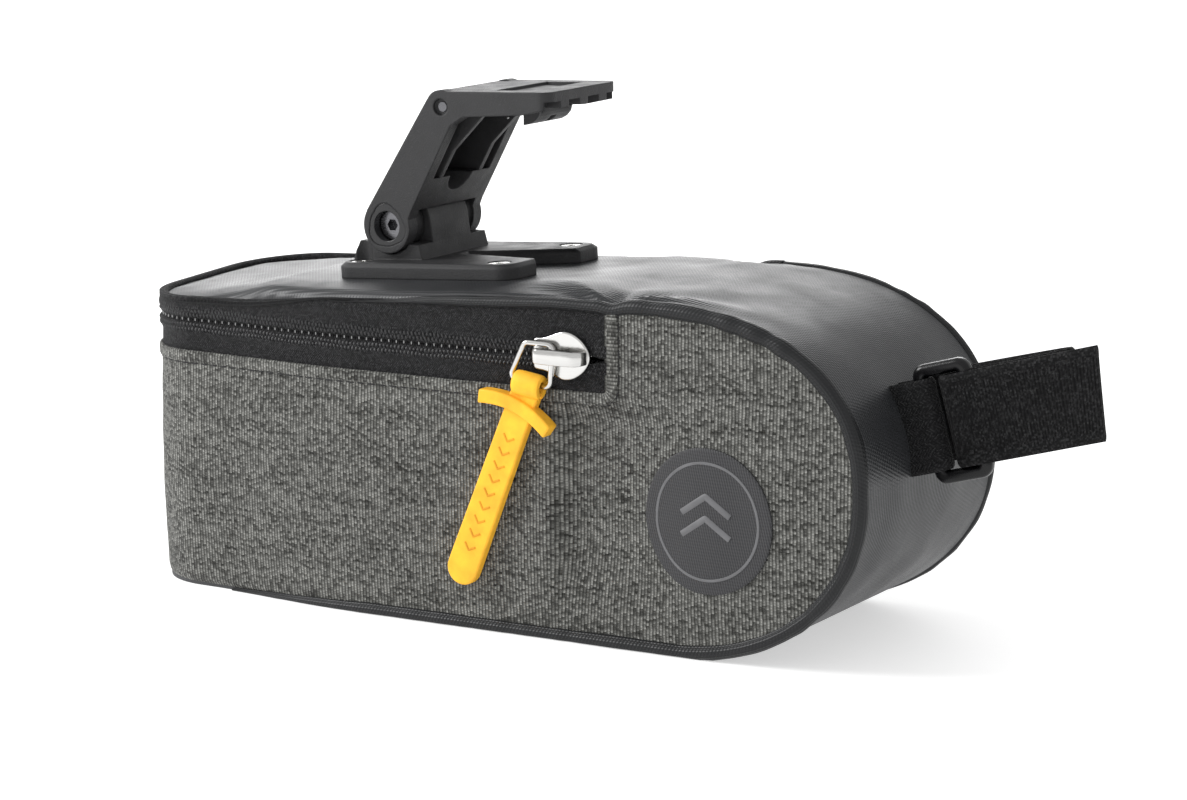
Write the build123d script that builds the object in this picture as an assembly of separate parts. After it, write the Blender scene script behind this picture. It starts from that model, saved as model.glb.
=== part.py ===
"""Saddle bag with a tilting clip bracket, a zipped lid and a seat-post strap.

Millimetres. +X is the bag's front, towards the seat post, +Y is the rider's left, +Z is up.
The origin is the middle of the bag's flat bottom.
"""
from build123d import *
from math import atan2, cos, degrees, pi, radians, sin
import os

# ---------------------------------------------------------------- driving dimensions
BAG_LENGTH = 202.0
BAG_WIDTH = 68.0
BAG_HEIGHT = 80.0
REAR_HEIGHT = 73.2  # top edge at the rear end
LEVEL_FROM_X = 22.0  # the top edge is level ahead of this
CROWN = 1.3  # the middle of the top stands this far above its edges
FLAT_HALF = 22.5  # half-width of the flat middle of the lid

FRONT_X = BAG_LENGTH / 2
REAR_X = -BAG_LENGTH / 2
HALF_WIDTH = BAG_WIDTH / 2
NOSE_Z = 40.4  # height of the front-most point
NOSE_TOP_X, NOSE_TOP_POWER = 45.8, 2.37  # the round front starts here on top
NOSE_BOTTOM_X, NOSE_BOTTOM_POWER = 52.0, 2.09  # and here underneath
REAR_HALF = 30.5
TAPER_FROM_X, TAPER_TO_X = -40.0, -78.0
REAR_CORNER_R = 19.0

CLOTH = 1.2  # thickness of each cloth wall
SEAM = 1.4  # the walls stop this far inside the piped edges
PIPE_PROUD = 0.6  # the piping stands this far outside the edges
PIPE_REAR_X = -84.0

ZIP_Z = 66.2  # centre line of the zipper
ZIP_END_X = 37.0  # front end of the zip opening, on both sides
HEM_Z = 58.7  # upper edge of the cloth under the zipper
ZIP_GAP = 1.0  # room for the slider's divider between the two rows
COIL_HEIGHT = 2.3
TAPE_OUT, TAPE_IN = 0.2, 1.0  # the tape lies between these depths inside the outer face
COIL_IN = 2.4

HINGE_X = 38.5  # the lid bends over here, at the height of its crowned top

BOARD = 1.5
BOARD_REAR_X = -58.0  # rear edge of the lid's board
BADGE_X, BADGE_Z, BADGE_D, BADGE_T = 62.6, 32.2, 33.3, 0.6

# bracket
PIVOT_X, PIVOT_Z = -34.6, 90.1
ARM_HALF = 15.9  # outer faces of the cheeks
CHEEK = 3.5
LUG_R = 6.5
KNUCKLE_R = 7.5
KNUCKLE_HALF = 8.3
PLATE_T = 3.7
PLATE_REAR_X, PLATE_FRONT_X = -46.2, 3.6
PLATE_HALF = 21.5
PLATE_EDGE = 0.9  # the upper rim is drawn in by this much over the last of the thickness
SCREW_X, SCREW_Y = (-41.6, -2.6), 16.2
SCREW_D, SCREW_HEAD_D, SCREW_HEAD_T = 3.0, 5.4, 1.5
PIN_X, PIN_Z, PIN_D = -18.7, 119.2, 2.4
BEND_R = 4.0
CLIP_FRONT_X = 11.0
CLIP_TOP_Z = 123.8
CLIP_T = 4.0
LEG_ANGLE = 57.0  # the arm's leg, in degrees from level
SLOT_R = 5.0
FIT = 0.05  # radial clearance of pins and screws

# zip slider, pull ring and puller
SLIDER_REAR_X, SLIDER_NOSE_X, SLIDER_WIDE_X = 18.0, 32.8, 26.0
SLIDER_Z, SLIDER_HALF, SLIDER_REAR_HALF = 66.7, 5.7, 3.9
SLIDER_PLATE = 1.1
RING_Y = -36.7
RING_WIRE = 1.3
RING_CORNERS = ((16.6, 69.4), (24.1, 69.2), (23.1, 59.2), (12.4, 60.8))
PULLER_LENGTH, PULLER_WIDTH, PULLER_T = 52.0, 7.8, 2.4
PULLER_LEAN = 22.5  # degrees from vertical, foot to the rear
KEEPER_LEFT, KEEPER_RIGHT, KEEPER_HEIGHT = 10.7, 9.6, 3.2  # its right end clears the bag as the ring turns
KEEPER_FRONT, KEEPER_BACK = 2.6, 1.0

# strap
STRAP_ORIGIN = (99.6, 0.0, 52.0)  # on the round front, at the strap's middle
STRAP_RISE = 15.0  # degrees, square to the cloth there
STRAP_WIDTH, STRAP_T = 20.8, 1.2
RING_BAR, RING_HEIGHT, RING_LENGTH = 3.2, 27.2, 14.2
RING_START = 4.2  # from the bag to the ring
RING_OFFSET_Y = -9.0
STRAP_END = 48.4


# ---------------------------------------------------------------- shared outlines
def top_z(x):
    """Height of the bag's top edge at x, behind the round front."""
    slope = (BAG_HEIGHT - REAR_HEIGHT) / (LEVEL_FROM_X - REAR_X)
    return BAG_HEIGHT - max(0.0, LEVEL_FROM_X - x) * slope


def round_nose(start_x, start_z, power, inset, steps=9):
    """Points of a quarter of a superellipse from (start_x, start_z) to the front-most point."""
    reach = FRONT_X - start_x - inset
    rise = abs(start_z - NOSE_Z) - inset
    side = 1 if start_z > NOSE_Z else -1
    points = []
    for i in range(steps + 1):
        a = pi / 2 * (1 - i / steps)
        x = start_x + reach * cos(a) ** (2 / power)
        z = NOSE_Z + side * rise * sin(a) ** (2 / power)
        points.append((x, z))
    return points


def side_face(inset=0.0):
    """The bag's side outline on the XZ plane, moved inwards by inset."""
    top = round_nose(NOSE_TOP_X, BAG_HEIGHT, NOSE_TOP_POWER, inset)
    bottom = round_nose(NOSE_BOTTOM_X, 0.0, NOSE_BOTTOM_POWER, inset)
    rear_x = REAR_X - 5  # the plan outline cuts the rear end
    upper = Spline(*top, tangents=[(1, 0), (0, -1)])
    lower = Spline(*bottom, tangents=[(1, 0), (0, 1)])
    rest = Polyline(
        bottom[0],
        (rear_x, inset),
        (rear_x, top_z(rear_x) - inset),
        (LEVEL_FROM_X, BAG_HEIGHT - inset),
        top[0],
    )
    return Plane.XZ * make_face(Curve() + [upper, lower, rest])


def side_solid(inset=0.0, half=HALF_WIDTH + 5):
    """The side outline as a solid that reaches half each way along Y."""
    return extrude(side_face(inset), half, both=True)


def plan_face(inset=0.0):
    """The bag's plan outline, moved inwards by inset, with a long front that others cut."""
    rear = REAR_X + inset
    wide, narrow = HALF_WIDTH - inset, REAR_HALF - inset
    corners = [
        (FRONT_X + 5, -wide),
        (FRONT_X + 5, wide),
        (TAPER_FROM_X, wide),
        (TAPER_TO_X, narrow),
        (rear, narrow),
        (rear, -narrow),
        (TAPER_TO_X, -narrow),
        (TAPER_FROM_X, -wide),
    ]
    face = make_face(Polyline(*corners, close=True))
    bends = face.vertices().filter_by(lambda v: TAPER_TO_X - 1 < v.X < TAPER_FROM_X + 1)
    face = fillet(bends, 60)
    ends = face.vertices().filter_by(lambda v: v.X < rear + 0.1)
    return fillet(ends, REAR_CORNER_R - inset)


def plan_solid(inset=0.0):
    return extrude(plan_face(inset), BAG_HEIGHT + 10, both=True)


def block(x0, x1, y0, y1, z0, z1):
    """A box between two corners."""
    size = (x1 - x0, y1 - y0, z1 - z0)
    return Pos((x0 + x1) / 2, (y0 + y1) / 2, (z0 + z1) / 2) * Box(*size)


def along_y(x, z, radius, y0, y1):
    """A cylinder about the Y direction."""
    return Pos(x, (y0 + y1) / 2, z) * Rot(90, 0, 0) * Cylinder(radius, y1 - y0)


def prism_y(outline, y0, y1):
    """An XZ outline, a list of points or a face, as a solid from y0 to y1."""
    face = outline if isinstance(outline, (Face, Sketch)) else make_face(Polyline(*outline, close=True))
    return Pos(0, y1, 0) * extrude(Plane.XZ * face, y1 - y0)


# ---------------------------------------------------------------- the sewn bag
def wall_ring(outer, inner):
    """The bag's upright walls between two depths inside the outer face."""
    return plan_solid(outer) - plan_solid(inner)


def zip_opening(low_z, end_x=ZIP_END_X):
    """All that lies behind the zip's front ends and above low_z."""
    return block(REAR_X - 10, end_x, -60, 60, low_z, BAG_HEIGHT + 20)


def side_fabric():
    """The grey cloth: both sides and the rear end, in one piece."""
    walls = wall_ring(0, CLOTH) & side_solid(SEAM)
    return walls - zip_opening(HEM_Z)


def gusset_band():
    """The coated band: bottom, round front and the fixed part of the top."""
    band = (side_solid(0) - side_solid(CLOTH)) & plan_solid(SEAM)
    band -= zip_opening(NOSE_Z, HINGE_X)
    front = (HINGE_X, NOSE_TOP_X + 8)
    return band + crowned_panel(front[0], front[1], 0.0, CLOTH, HALF_WIDTH - SEAM, fade=True)


def piping(side):
    """The rolled edge between the grey side and the band, from the rear round to the zip's end."""
    edge = side_solid(-PIPE_PROUD) - side_solid(SEAM)
    edge &= plan_solid(-PIPE_PROUD) - plan_solid(SEAM)
    edge -= zip_opening(NOSE_Z, HINGE_X)
    keep = block(PIPE_REAR_X, FRONT_X + 5, 0, HALF_WIDTH + 5, 0, BAG_HEIGHT + 5)
    return edge & (keep if side > 0 else mirror(keep, Plane.XZ))


def crowned_section(x, drop, thick, half, crown):
    """A crowned strip's section on the plane at x, its upper face drop below the top."""
    edge, middle = top_z(x) - drop, top_z(x) + crown - drop
    flat = min(FLAT_HALF, half - 4)
    upper = [(-half, edge), (-flat, middle), (flat, middle), (half, edge)]
    lower = [(y, z - thick) for y, z in reversed(upper)]
    plane = Plane(origin=(x, 0, 0), x_dir=(0, 1, 0), z_dir=(1, 0, 0))
    return plane * make_face(Polyline(*upper, *lower, close=True))


def crowned_panel(x0, x1, drop, thick, half, fade=False):
    """A crowned strip of the top between x0 and x1. Its crown may fade out towards x1."""
    stops = [x0] + [LEVEL_FROM_X] * (x0 < LEVEL_FROM_X < x1) + [x1]
    panel = Part()
    for a, b in zip(stops, stops[1:]):
        ends = [crowned_section(x, drop, thick, half, CROWN) for x in (a, b)]
        if fade:
            ends[1] = crowned_section(b, drop, thick, half, 0.05)
        panel += loft(ends)
    return panel


def lid_panel():
    panel = crowned_panel(REAR_X, HINGE_X - 0.3, 0.0, CLOTH, HALF_WIDTH)
    return (panel & plan_solid(TAPE_IN)) - screw_holes(SCREW_D)


def lid_board():
    """The stiffener under the bracket, which its screws pass through. The lid behind it is soft."""
    board = crowned_panel(BOARD_REAR_X, HINGE_X - 8, CLOTH, BOARD, HALF_WIDTH)
    return (board & plan_solid(4.0)) - screw_holes(SCREW_D)


def lid_rim():
    """The bound edge of the lid, which stands up round its rear end."""
    rim = wall_ring(-0.3, TAPE_IN)
    low, high = side_solid(0.0), Pos(0, 0, 2.2) * side_solid(0.0)
    rim &= high - low
    return rim & block(REAR_X - 5, -52, -60, 60, REAR_HEIGHT - 5, BAG_HEIGHT + 10)


def zip_tape(upper):
    tape = wall_ring(TAPE_OUT, TAPE_IN) & side_solid(0)
    low = ZIP_Z + ZIP_GAP / 2 if upper else HEM_Z
    high = BAG_HEIGHT if upper else ZIP_Z - ZIP_GAP / 2
    end = ZIP_END_X - 0.6 if upper else ZIP_END_X
    return tape & block(REAR_X - 5, end, -60, 60, low, high)


def zip_coil(upper):
    """One row of the nylon coil, on the inner face of its tape."""
    low = ZIP_Z + ZIP_GAP / 2 if upper else ZIP_Z - ZIP_GAP / 2 - COIL_HEIGHT
    row = wall_ring(TAPE_IN, COIL_IN)
    return row & block(REAR_X - 5, ZIP_END_X - 3, -60, 60, low, low + COIL_HEIGHT)


def bottom_board():
    """The stiffener that keeps the bottom flat."""
    return block(REAR_X + 6, NOSE_BOTTOM_X - 4, -60, 60, CLOTH, CLOTH + BOARD) & plan_solid(3.0)


def badge():
    return along_y(BADGE_X, BADGE_Z, BADGE_D / 2, -HALF_WIDTH - BADGE_T, -HALF_WIDTH)


# ---------------------------------------------------------------- bracket
def seat_z(x):
    """Height of the bracket's seat on the crowned lid."""
    return top_z(x) + CROWN


TILT = degrees(atan2(top_z(0) - top_z(-40), 40))
SEAT = Pos(0, 0, seat_z(0)) * Rot(0, -TILT, 0)  # on the lid, with +X up the slope


def screw_places():
    return [SEAT * Pos(x, y * SCREW_Y, 0) for x in SCREW_X for y in (-1, 1)]


def screw_holes(diameter):
    holes = Part()
    for place in screw_places():
        holes += place * Cylinder(diameter / 2, 40)
    return holes


def base_screws():
    screws = []
    for place in screw_places():
        head = Pos(0, 0, PLATE_T - SCREW_HEAD_T / 2 - 0.2) * Cylinder(SCREW_HEAD_D / 2, SCREW_HEAD_T)
        socket = Pos(0, 0, PLATE_T) * extrude(RegularPolygon(1.15, 6), -1.1)
        length = PLATE_T + CLOTH + BOARD + 5.0
        shank = Pos(0, 0, PLATE_T - SCREW_HEAD_T - length / 2) * Cylinder(SCREW_D / 2 - FIT, length)
        screws.append(place * (head + shank - socket))
    return Compound(children=screws)


def base_nuts():
    nuts = []
    for place in screw_places():
        nut = extrude(RegularPolygon(3.1, 6), 2.3) - Cylinder(SCREW_D / 2, 10)
        nuts.append(place * Pos(0, 0, -CLOTH - BOARD - 1.6 - 2.3) * nut)
    return Compound(children=nuts)


def backing_plate():
    """The inner plate that spreads the bracket's load under the lid."""
    length, mid = PLATE_FRONT_X - PLATE_REAR_X - 3, (PLATE_FRONT_X + PLATE_REAR_X) / 2
    face = Pos(mid, 0) * RectangleRounded(length, 2 * SCREW_Y + 9, 4)
    plate = SEAT * Pos(0, 0, -CLOTH - BOARD - 1.6) * extrude(face, 1.6)
    return plate - screw_holes(SCREW_D)


def plate_outline(grow):
    """The base plate's plan: a rounded rectangle with a round-bottomed notch between two arms."""
    length, mid = PLATE_FRONT_X - PLATE_REAR_X, (PLATE_FRONT_X + PLATE_REAR_X) / 2
    face = Pos(mid, 0) * RectangleRounded(length + 2 * grow, 2 * (PLATE_HALF + grow), 4.5)
    notch = [(-22 + grow, -2), (-22 + grow, 2), (PLATE_FRONT_X + 6, 12 + grow), (PLATE_FRONT_X + 6, -12 - grow)]
    rear = [(-50, -6), (-50, 6), (PLATE_REAR_X + 2 - grow, 3), (PLATE_REAR_X + 2 - grow, -3)]
    return face - make_face(Polyline(*notch, close=True)) - make_face(Polyline(*rear, close=True))


def bracket_base():
    """Base plate, recessed plinth and the knuckle that the arm tilts on."""
    low = PLATE_T - PLATE_EDGE
    plate = extrude(plate_outline(0), low)
    plate += loft([Pos(0, 0, low) * plate_outline(0), Pos(0, 0, PLATE_T) * plate_outline(-PLATE_EDGE)])
    base = SEAT * plate
    foot_z, top = seat_z(PIVOT_X) + 1.5, PIVOT_Z - 4.2
    foot = [(-45.5, foot_z), (-24.6, foot_z), (-26.4, top), (-43.6, top)]
    base += prism_y(foot, -14.6, 14.6)
    base += knuckle(top)
    for y in (-ARM_HALF, KNUCKLE_HALF + 3.8):
        base -= along_y(PIVOT_X, PIVOT_Z, LUG_R + 0.4, y, y + CHEEK + 0.3)
    base -= along_y(PIVOT_X, PIVOT_Z, 2.0 + FIT, -20, 20)
    for side in (-1, 1):
        y0, y1 = sorted((side * KNUCKLE_HALF, side * 17))
        base -= along_y(PIVOT_X, PIVOT_Z, 6.2, y0, y1)
    for place in screw_places():
        base -= place * Pos(0, 0, PLATE_T + 5.0 - SCREW_HEAD_T - 0.2) * Cylinder(SCREW_HEAD_D / 2 + 0.2, 10)
    return base - screw_holes(SCREW_D)


def knuckle(foot_z):
    """The round-topped centre block, with a leaning front face tangent to its round."""
    drop = PIVOT_Z - foot_z + 1.5
    angle = radians(8.0)
    tangent = (PIVOT_X + KNUCKLE_R * cos(angle), PIVOT_Z + KNUCKLE_R * sin(angle))
    foot = [
        (PIVOT_X - KNUCKLE_R, PIVOT_Z),
        (PIVOT_X - KNUCKLE_R, PIVOT_Z - drop),
        (PIVOT_X + KNUCKLE_R + 0.9, PIVOT_Z - drop),
        tangent,
    ]
    block_part = prism_y(foot, -KNUCKLE_HALF, KNUCKLE_HALF)
    return block_part + along_y(PIVOT_X, PIVOT_Z, KNUCKLE_R, -KNUCKLE_HALF, KNUCKLE_HALF)


def cheek_face():
    """Side outline of the arm: a round lug, a leaning leg, a bend and a level clip."""
    leg = [
        (-40.2, 93.6),
        (-22.4, 120.9),
        (-20.4, 122.8),
        (CLIP_FRONT_X, CLIP_TOP_Z),
        (CLIP_FRONT_X, CLIP_TOP_Z - CLIP_T),
        (3.6, 118.2),
        (-12.6, 117.1),
        (-16.0, 115.0),
        (-27.6, 94.0),
        (-31.0, 86.0),
    ]
    face = make_face(Polyline(*leg, close=True))
    face += Pos(PIVOT_X, PIVOT_Z) * Circle(LUG_R)
    return face + Pos(PIN_X, PIN_Z) * Circle(BEND_R)


def arm_web():
    """What joins the cheeks: the slotted foot, the rear web, two ribs and the top plate."""
    inner = ARM_HALF - CHEEK + 0.5
    foot = [(-38.6, 97.4), (-35.0, 101.6), (-23.4, 101.6), (-27.6, 94.0), (-30.4, 94.0)]
    rear = [(-38.6, 97.4), (-23.6, 120.2), (-21.4, 119.2), (-36.4, 96.2)]
    top = [(-20.4, 122.8), (-20.4, 120.8), (CLIP_FRONT_X, 121.6), (CLIP_FRONT_X, CLIP_TOP_Z)]
    slot = Rot(0, 0, 90) * along_y(0, 0, SLOT_R, -20, 20) + block(-20, 20, -SLOT_R, SLOT_R, 0, 12)
    web = prism_y(foot, -inner, inner) - Pos(-23.4, 0, 102.1) * Rot(0, 90 - LEG_ANGLE, 0) * slot
    web += prism_y(rear, -inner, inner) + prism_y(top, -inner, inner)
    # the ribs are cut back at 45 degrees towards the bend
    rib = [(-36.4, 97.0), (-26.6, 96.2), (-19.8, 108.2), (-10.0, 118.0), (-10.0, 121.0), (-22.6, 120.6)]
    for y in (-8.6, 8.6):
        web += prism_y(rib, y - 0.8, y + 0.8)
    web -= along_y(PIVOT_X, PIVOT_Z, KNUCKLE_R + 0.4, -20, 20)
    return web - along_y(PIN_X, PIN_Z, 3.4, -7.6, 7.6)


def tilt_arm():
    """Two cheeks joined by a slotted web and a top plate that ends in the clip."""
    inner = ARM_HALF - CHEEK
    arm = prism_y(cheek_face(), -ARM_HALF, -inner) + prism_y(cheek_face(), inner, ARM_HALF)
    nose = [
        (5.0, CLIP_TOP_Z - 0.2),
        (CLIP_FRONT_X, CLIP_TOP_Z),
        (CLIP_FRONT_X, CLIP_TOP_Z - CLIP_T),
        (5.0, CLIP_TOP_Z - CLIP_T - 0.2),
    ]
    arm += prism_y(nose, -ARM_HALF, ARM_HALF) + arm_web()
    for side in (-1, 1):
        y0, y1 = sorted((side * (KNUCKLE_HALF + 0.2), side * (inner + 0.5)))
        arm += along_y(PIVOT_X, PIVOT_Z, 5.8, y0, y1)
    corners = arm.edges().filter_by(Axis.Z).filter_by(lambda e: e.center().X > CLIP_FRONT_X - 0.5)
    corners = corners.filter_by(lambda e: abs(e.center().Y) > ARM_HALF - 0.5)
    arm = fillet(corners, 3.0)
    for y in (-12.9, -4.3, 4.3, 12.9):
        arm -= block(CLIP_FRONT_X - 4, CLIP_FRONT_X + 1, y - 2.5, y + 2.5, CLIP_TOP_Z - 5, CLIP_TOP_Z - 2.4)
    # shallow dish in the top plate
    arm -= block(-6, 4, -inner + 1, inner - 1, CLIP_TOP_Z - 1.2, CLIP_TOP_Z + 2)
    arm -= along_y(PIN_X, PIN_Z, PIN_D / 2 + FIT, -30, 30)
    for side in (-1, 1):
        y0, y1 = sorted((side * (ARM_HALF - 1.0), side * (ARM_HALF + 1)))
        arm -= along_y(PIN_X, PIN_Z, 2.0, y0, y1)
        arm -= insert_blank(side, FIT)
    return arm


def insert_blank(side, grow):
    """The keyed insert's outside: a three-lobed flange on a round sleeve."""
    y0, y1 = sorted((side * (ARM_HALF - 2.0), side * (ARM_HALF + (0.5 if grow else -0.1))))
    flange = along_y(PIVOT_X, PIVOT_Z, 4.8 + grow, y0, y1)
    for i in range(3):
        a = radians(100 + 120 * i)
        flange += along_y(PIVOT_X + 2.2 * cos(a), PIVOT_Z + 2.2 * sin(a), 3.3 + grow, y0, y1)
    y0, y1 = sorted((side * (KNUCKLE_HALF + 0.1), side * (ARM_HALF - 1.9)))
    return flange + along_y(PIVOT_X, PIVOT_Z, 4.5 + grow, y0, y1)


def keyed_insert(side):
    insert = insert_blank(side, 0)
    y0, y1 = sorted((side * (KNUCKLE_HALF + 1.6), side * 20))
    insert -= along_y(PIVOT_X, PIVOT_Z, 3.6, y0, y1)
    return insert - along_y(PIVOT_X, PIVOT_Z, 2.0 + FIT, -20, 20)


def pivot_bolt():
    """Socket-head bolt through both inserts and the knuckle."""
    seat = -KNUCKLE_HALF - 1.6
    bolt = along_y(PIVOT_X, PIVOT_Z, 3.4, seat - 3.4, seat)
    bolt += along_y(PIVOT_X, PIVOT_Z, 2.0, seat - 1, -seat + 3.2)
    socket = Pos(PIVOT_X, seat - 3.4, PIVOT_Z) * Rot(90, 0, 0) * extrude(RegularPolygon(1.45, 6), -2.2)
    return bolt - socket


def pivot_nut():
    seat = KNUCKLE_HALF + 1.6
    nut = Pos(PIVOT_X, seat, PIVOT_Z) * Rot(-90, 0, 0) * extrude(RegularPolygon(3.5, 6), 3.0)
    return nut - along_y(PIVOT_X, PIVOT_Z, 2.0, 0, 20)


def release_pin():
    return along_y(PIN_X, PIN_Z, PIN_D / 2, -ARM_HALF + 0.9, ARM_HALF - 0.9)


def latch_lever():
    """The sprung lever under the top plate, from its hub on the pin to the hooked nose."""
    hub = along_y(PIN_X, PIN_Z, 3.1, -6.0, 3.4)
    beam = [(-19.5, 116.3), (-19.5, 118.8), (3.4, 120.2), (3.4, 117.8), (-1.0, 117.6)]
    hook = [(-1.1, 118.6), (-1.1, 114.9), (0.4, 115.2), (1.9, 116.0), (3.0, 117.2), (3.4, 118.6)]
    lever = hub + prism_y(beam, -6.0, 6.0) + prism_y(hook, -7.4, 7.4)
    lever -= block(-25, -14, 3.4, 7, 110, 125)
    lever -= block(-3, 5, -1.2, 1.2, 110, 116.8)
    return lever - along_y(PIN_X, PIN_Z, PIN_D / 2 + FIT, -10, 10)


def latch_spring():
    """Torsion spring on the pin, beside the lever's hub."""
    coils = [along_y(PIN_X, PIN_Z, 2.6, y, y + 0.62) for y in (3.7, 4.3, 4.9)]
    spring = coils[0] + coils[1] + coils[2]
    leg = Pos(PIN_X, 5.2, PIN_Z) * Rot(0, 57, 0) * Pos(4.2, 0, 2.2) * Rot(0, 90, 0) * Cylinder(0.3, 5.0)
    return (spring + leg) - along_y(PIN_X, PIN_Z, PIN_D / 2 + 0.3, 0, 10)


# ---------------------------------------------------------------- slider, ring and puller
def slider_outline():
    """Teardrop plate: square at the rear, widest before the round nose."""
    z, half, rear = SLIDER_Z, SLIDER_HALF, SLIDER_REAR_HALF
    upper = Spline(
        (SLIDER_REAR_X + 4, z + rear),
        (SLIDER_WIDE_X, z + half),
        (SLIDER_NOSE_X - 1.6, z + 3.0),
        (SLIDER_NOSE_X, z),
        tangents=[(1, 0.15), (0, -1)],
    )
    back = Polyline((SLIDER_NOSE_X, z), (SLIDER_REAR_X, z), (SLIDER_REAR_X, z + rear), (SLIDER_REAR_X + 4, z + rear))
    half_face = make_face(Curve() + [upper, back])
    return half_face + mirror(half_face, Plane.XZ.offset(-z))


def zip_slider():
    """Outer and inner plates joined by the divider, open upwards, flanged below."""
    outer = -HALF_WIDTH - 0.3
    inner = -HALF_WIDTH + COIL_IN + 0.3
    slider = prism_y(slider_outline(), outer - SLIDER_PLATE, outer)
    slider += prism_y(slider_outline(), inner, inner + SLIDER_PLATE)
    post = ZIP_GAP / 2 - 0.1
    slider += block(SLIDER_NOSE_X - 4.6, SLIDER_NOSE_X - 0.6, outer - 0.5, inner + 0.5, ZIP_Z - post, ZIP_Z + post)
    coil_low = ZIP_Z - ZIP_GAP / 2 - COIL_HEIGHT
    return slider + block(SLIDER_REAR_X + 4, SLIDER_WIDE_X + 2, -HALF_WIDTH + TAPE_IN + 0.2, inner + 0.5,
                          coil_low - 1.2, coil_low - 0.3)


def slider_bridge():
    """The arched bridge that the pull ring hangs from."""
    base = -HALF_WIDTH - 0.3 - SLIDER_PLATE
    crown = base - 3.4
    arch = block(18.9, 32.2, crown, base, SLIDER_Z - 1.7, SLIDER_Z + 1.5)
    return arch - block(20.7, 30.2, crown + 1.0, base, SLIDER_Z - 3, SLIDER_Z + 3)


def pull_ring():
    """Bent wire ring, one side of it under the bridge."""
    corners = [(x, RING_Y, z) for x, z in RING_CORNERS]
    path = FilletPolyline(*corners, radius=1.5, close=True)
    start = path @ 0
    section = Plane(origin=start, z_dir=path % 0) * Circle(RING_WIRE / 2)
    return sweep(section, path)


def puller():
    """Rubber puller: a loop on the ring's lower bar, a curved keeper and a long flat tongue."""
    right, left = RING_CORNERS[2], RING_CORNERS[3]
    mid_x, mid_z = (right[0] + left[0]) / 2, (right[1] + left[1]) / 2
    bar_dip = degrees(atan2(left[1] - right[1], right[0] - left[0]))
    loop_face = Plane.YZ * Pos(-0.2, -0.6) * RectangleRounded(4.8, 5.6, 2.0)
    loop = extrude(loop_face, PULLER_WIDTH / 2, both=True)
    loop -= Rot(0, 90, 0) * Cylinder(RING_WIRE / 2 + 0.3, 30)
    loop = Rot(0, bar_dip, 0) * loop
    tongue_face = Pos(0, -PULLER_LENGTH / 2 - 2.5) * SlotOverall(PULLER_LENGTH + 3, PULLER_WIDTH, 90)
    tongue = Plane.XZ * extrude(tongue_face, PULLER_T / 2, both=True)
    tongue -= block(-10, 10, -10, 10, -2.2, 10)
    arc = ThreePointArc((-KEEPER_LEFT, -6.6), (0, -4.2), (KEEPER_RIGHT, -6.1))
    lower = ThreePointArc((KEEPER_RIGHT - 0.8, -6.1 - KEEPER_HEIGHT), (0, -4.2 - KEEPER_HEIGHT),
                          (-KEEPER_LEFT + 0.8, -6.6 - KEEPER_HEIGHT))
    ends = [Line(arc @ 1, lower @ 0), Line(lower @ 1, arc @ 0)]
    keeper = prism_y(make_face(Curve() + [arc, lower] + ends), -KEEPER_FRONT, KEEPER_BACK)
    body = Rot(0, PULLER_LEAN, 0) * (tongue + keeper)
    return Pos(mid_x, RING_Y, mid_z) * (loop + Pos(0, 0.3, 0) * body)


# ---------------------------------------------------------------- strap
STRAP = Pos(*STRAP_ORIGIN) * Rot(0, -STRAP_RISE, 0)  # +X away from the bag, +Z across the strap


def webbing(path):
    """Flat webbing whose middle line is a path on the strap's XY plane."""
    face = trace(path, STRAP_T)
    return STRAP * extrude(face, STRAP_WIDTH / 2, both=True)


BAR_REAR_X = RING_START + RING_BAR / 2
TURN_X = 13.3  # where the strap turns round the ring's front bar
LAYER_OFF = RING_BAR / 2 + 0.2 + STRAP_T / 2


def strap_anchor():
    """Short webbing folded round the ring's rear bar, both ends sewn to the bag's front."""
    y = RING_OFFSET_Y
    upper = Line((-4, y + LAYER_OFF), (BAR_REAR_X, y + LAYER_OFF))
    turn = ThreePointArc(upper @ 1, (BAR_REAR_X + LAYER_OFF, y), (BAR_REAR_X, y - LAYER_OFF))
    lower = Line(turn @ 1, (-4, y - LAYER_OFF))
    return webbing(Curve() + [upper, turn, lower]) - side_solid(0)


def strap_ring():
    """Moulded rectangular ring."""
    outer = RectangleRounded(RING_LENGTH, RING_HEIGHT, 3.0)
    inner = RectangleRounded(RING_LENGTH - 2 * RING_BAR, RING_HEIGHT - 2 * RING_BAR + 0.4, 0.3)
    ring = Plane.XZ * extrude(outer - inner, RING_BAR / 2, both=True)
    ring = fillet(ring.faces().filter_by(Axis.Y).edges(), 1.3)
    return STRAP * Pos(RING_START + RING_LENGTH / 2, RING_OFFSET_Y, 0) * ring


def strap_loop():
    """Sewn to the bag on the left, forward, round the fold, back and out through the ring."""
    y = RING_OFFSET_Y
    far = Line((-4, 8.6), (33.0, 2.0))
    back_y = y + LAYER_OFF
    fold = Spline(far @ 1, (41.0, -2.8), (35.0, back_y), tangents=[far % 1, (-1, 0)])
    back = Line(fold @ 1, (TURN_X, back_y))
    turn = ThreePointArc(back @ 1, (TURN_X - LAYER_OFF, y), (TURN_X, y - LAYER_OFF))
    return webbing(Curve() + [far, fold, back, turn]) - side_solid(0)


def strap_tail():
    """The hook-and-loop end, from the ring to its free end."""
    y = RING_OFFSET_Y - LAYER_OFF
    return webbing(Line((TURN_X, y), (STRAP_END, y)))


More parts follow.
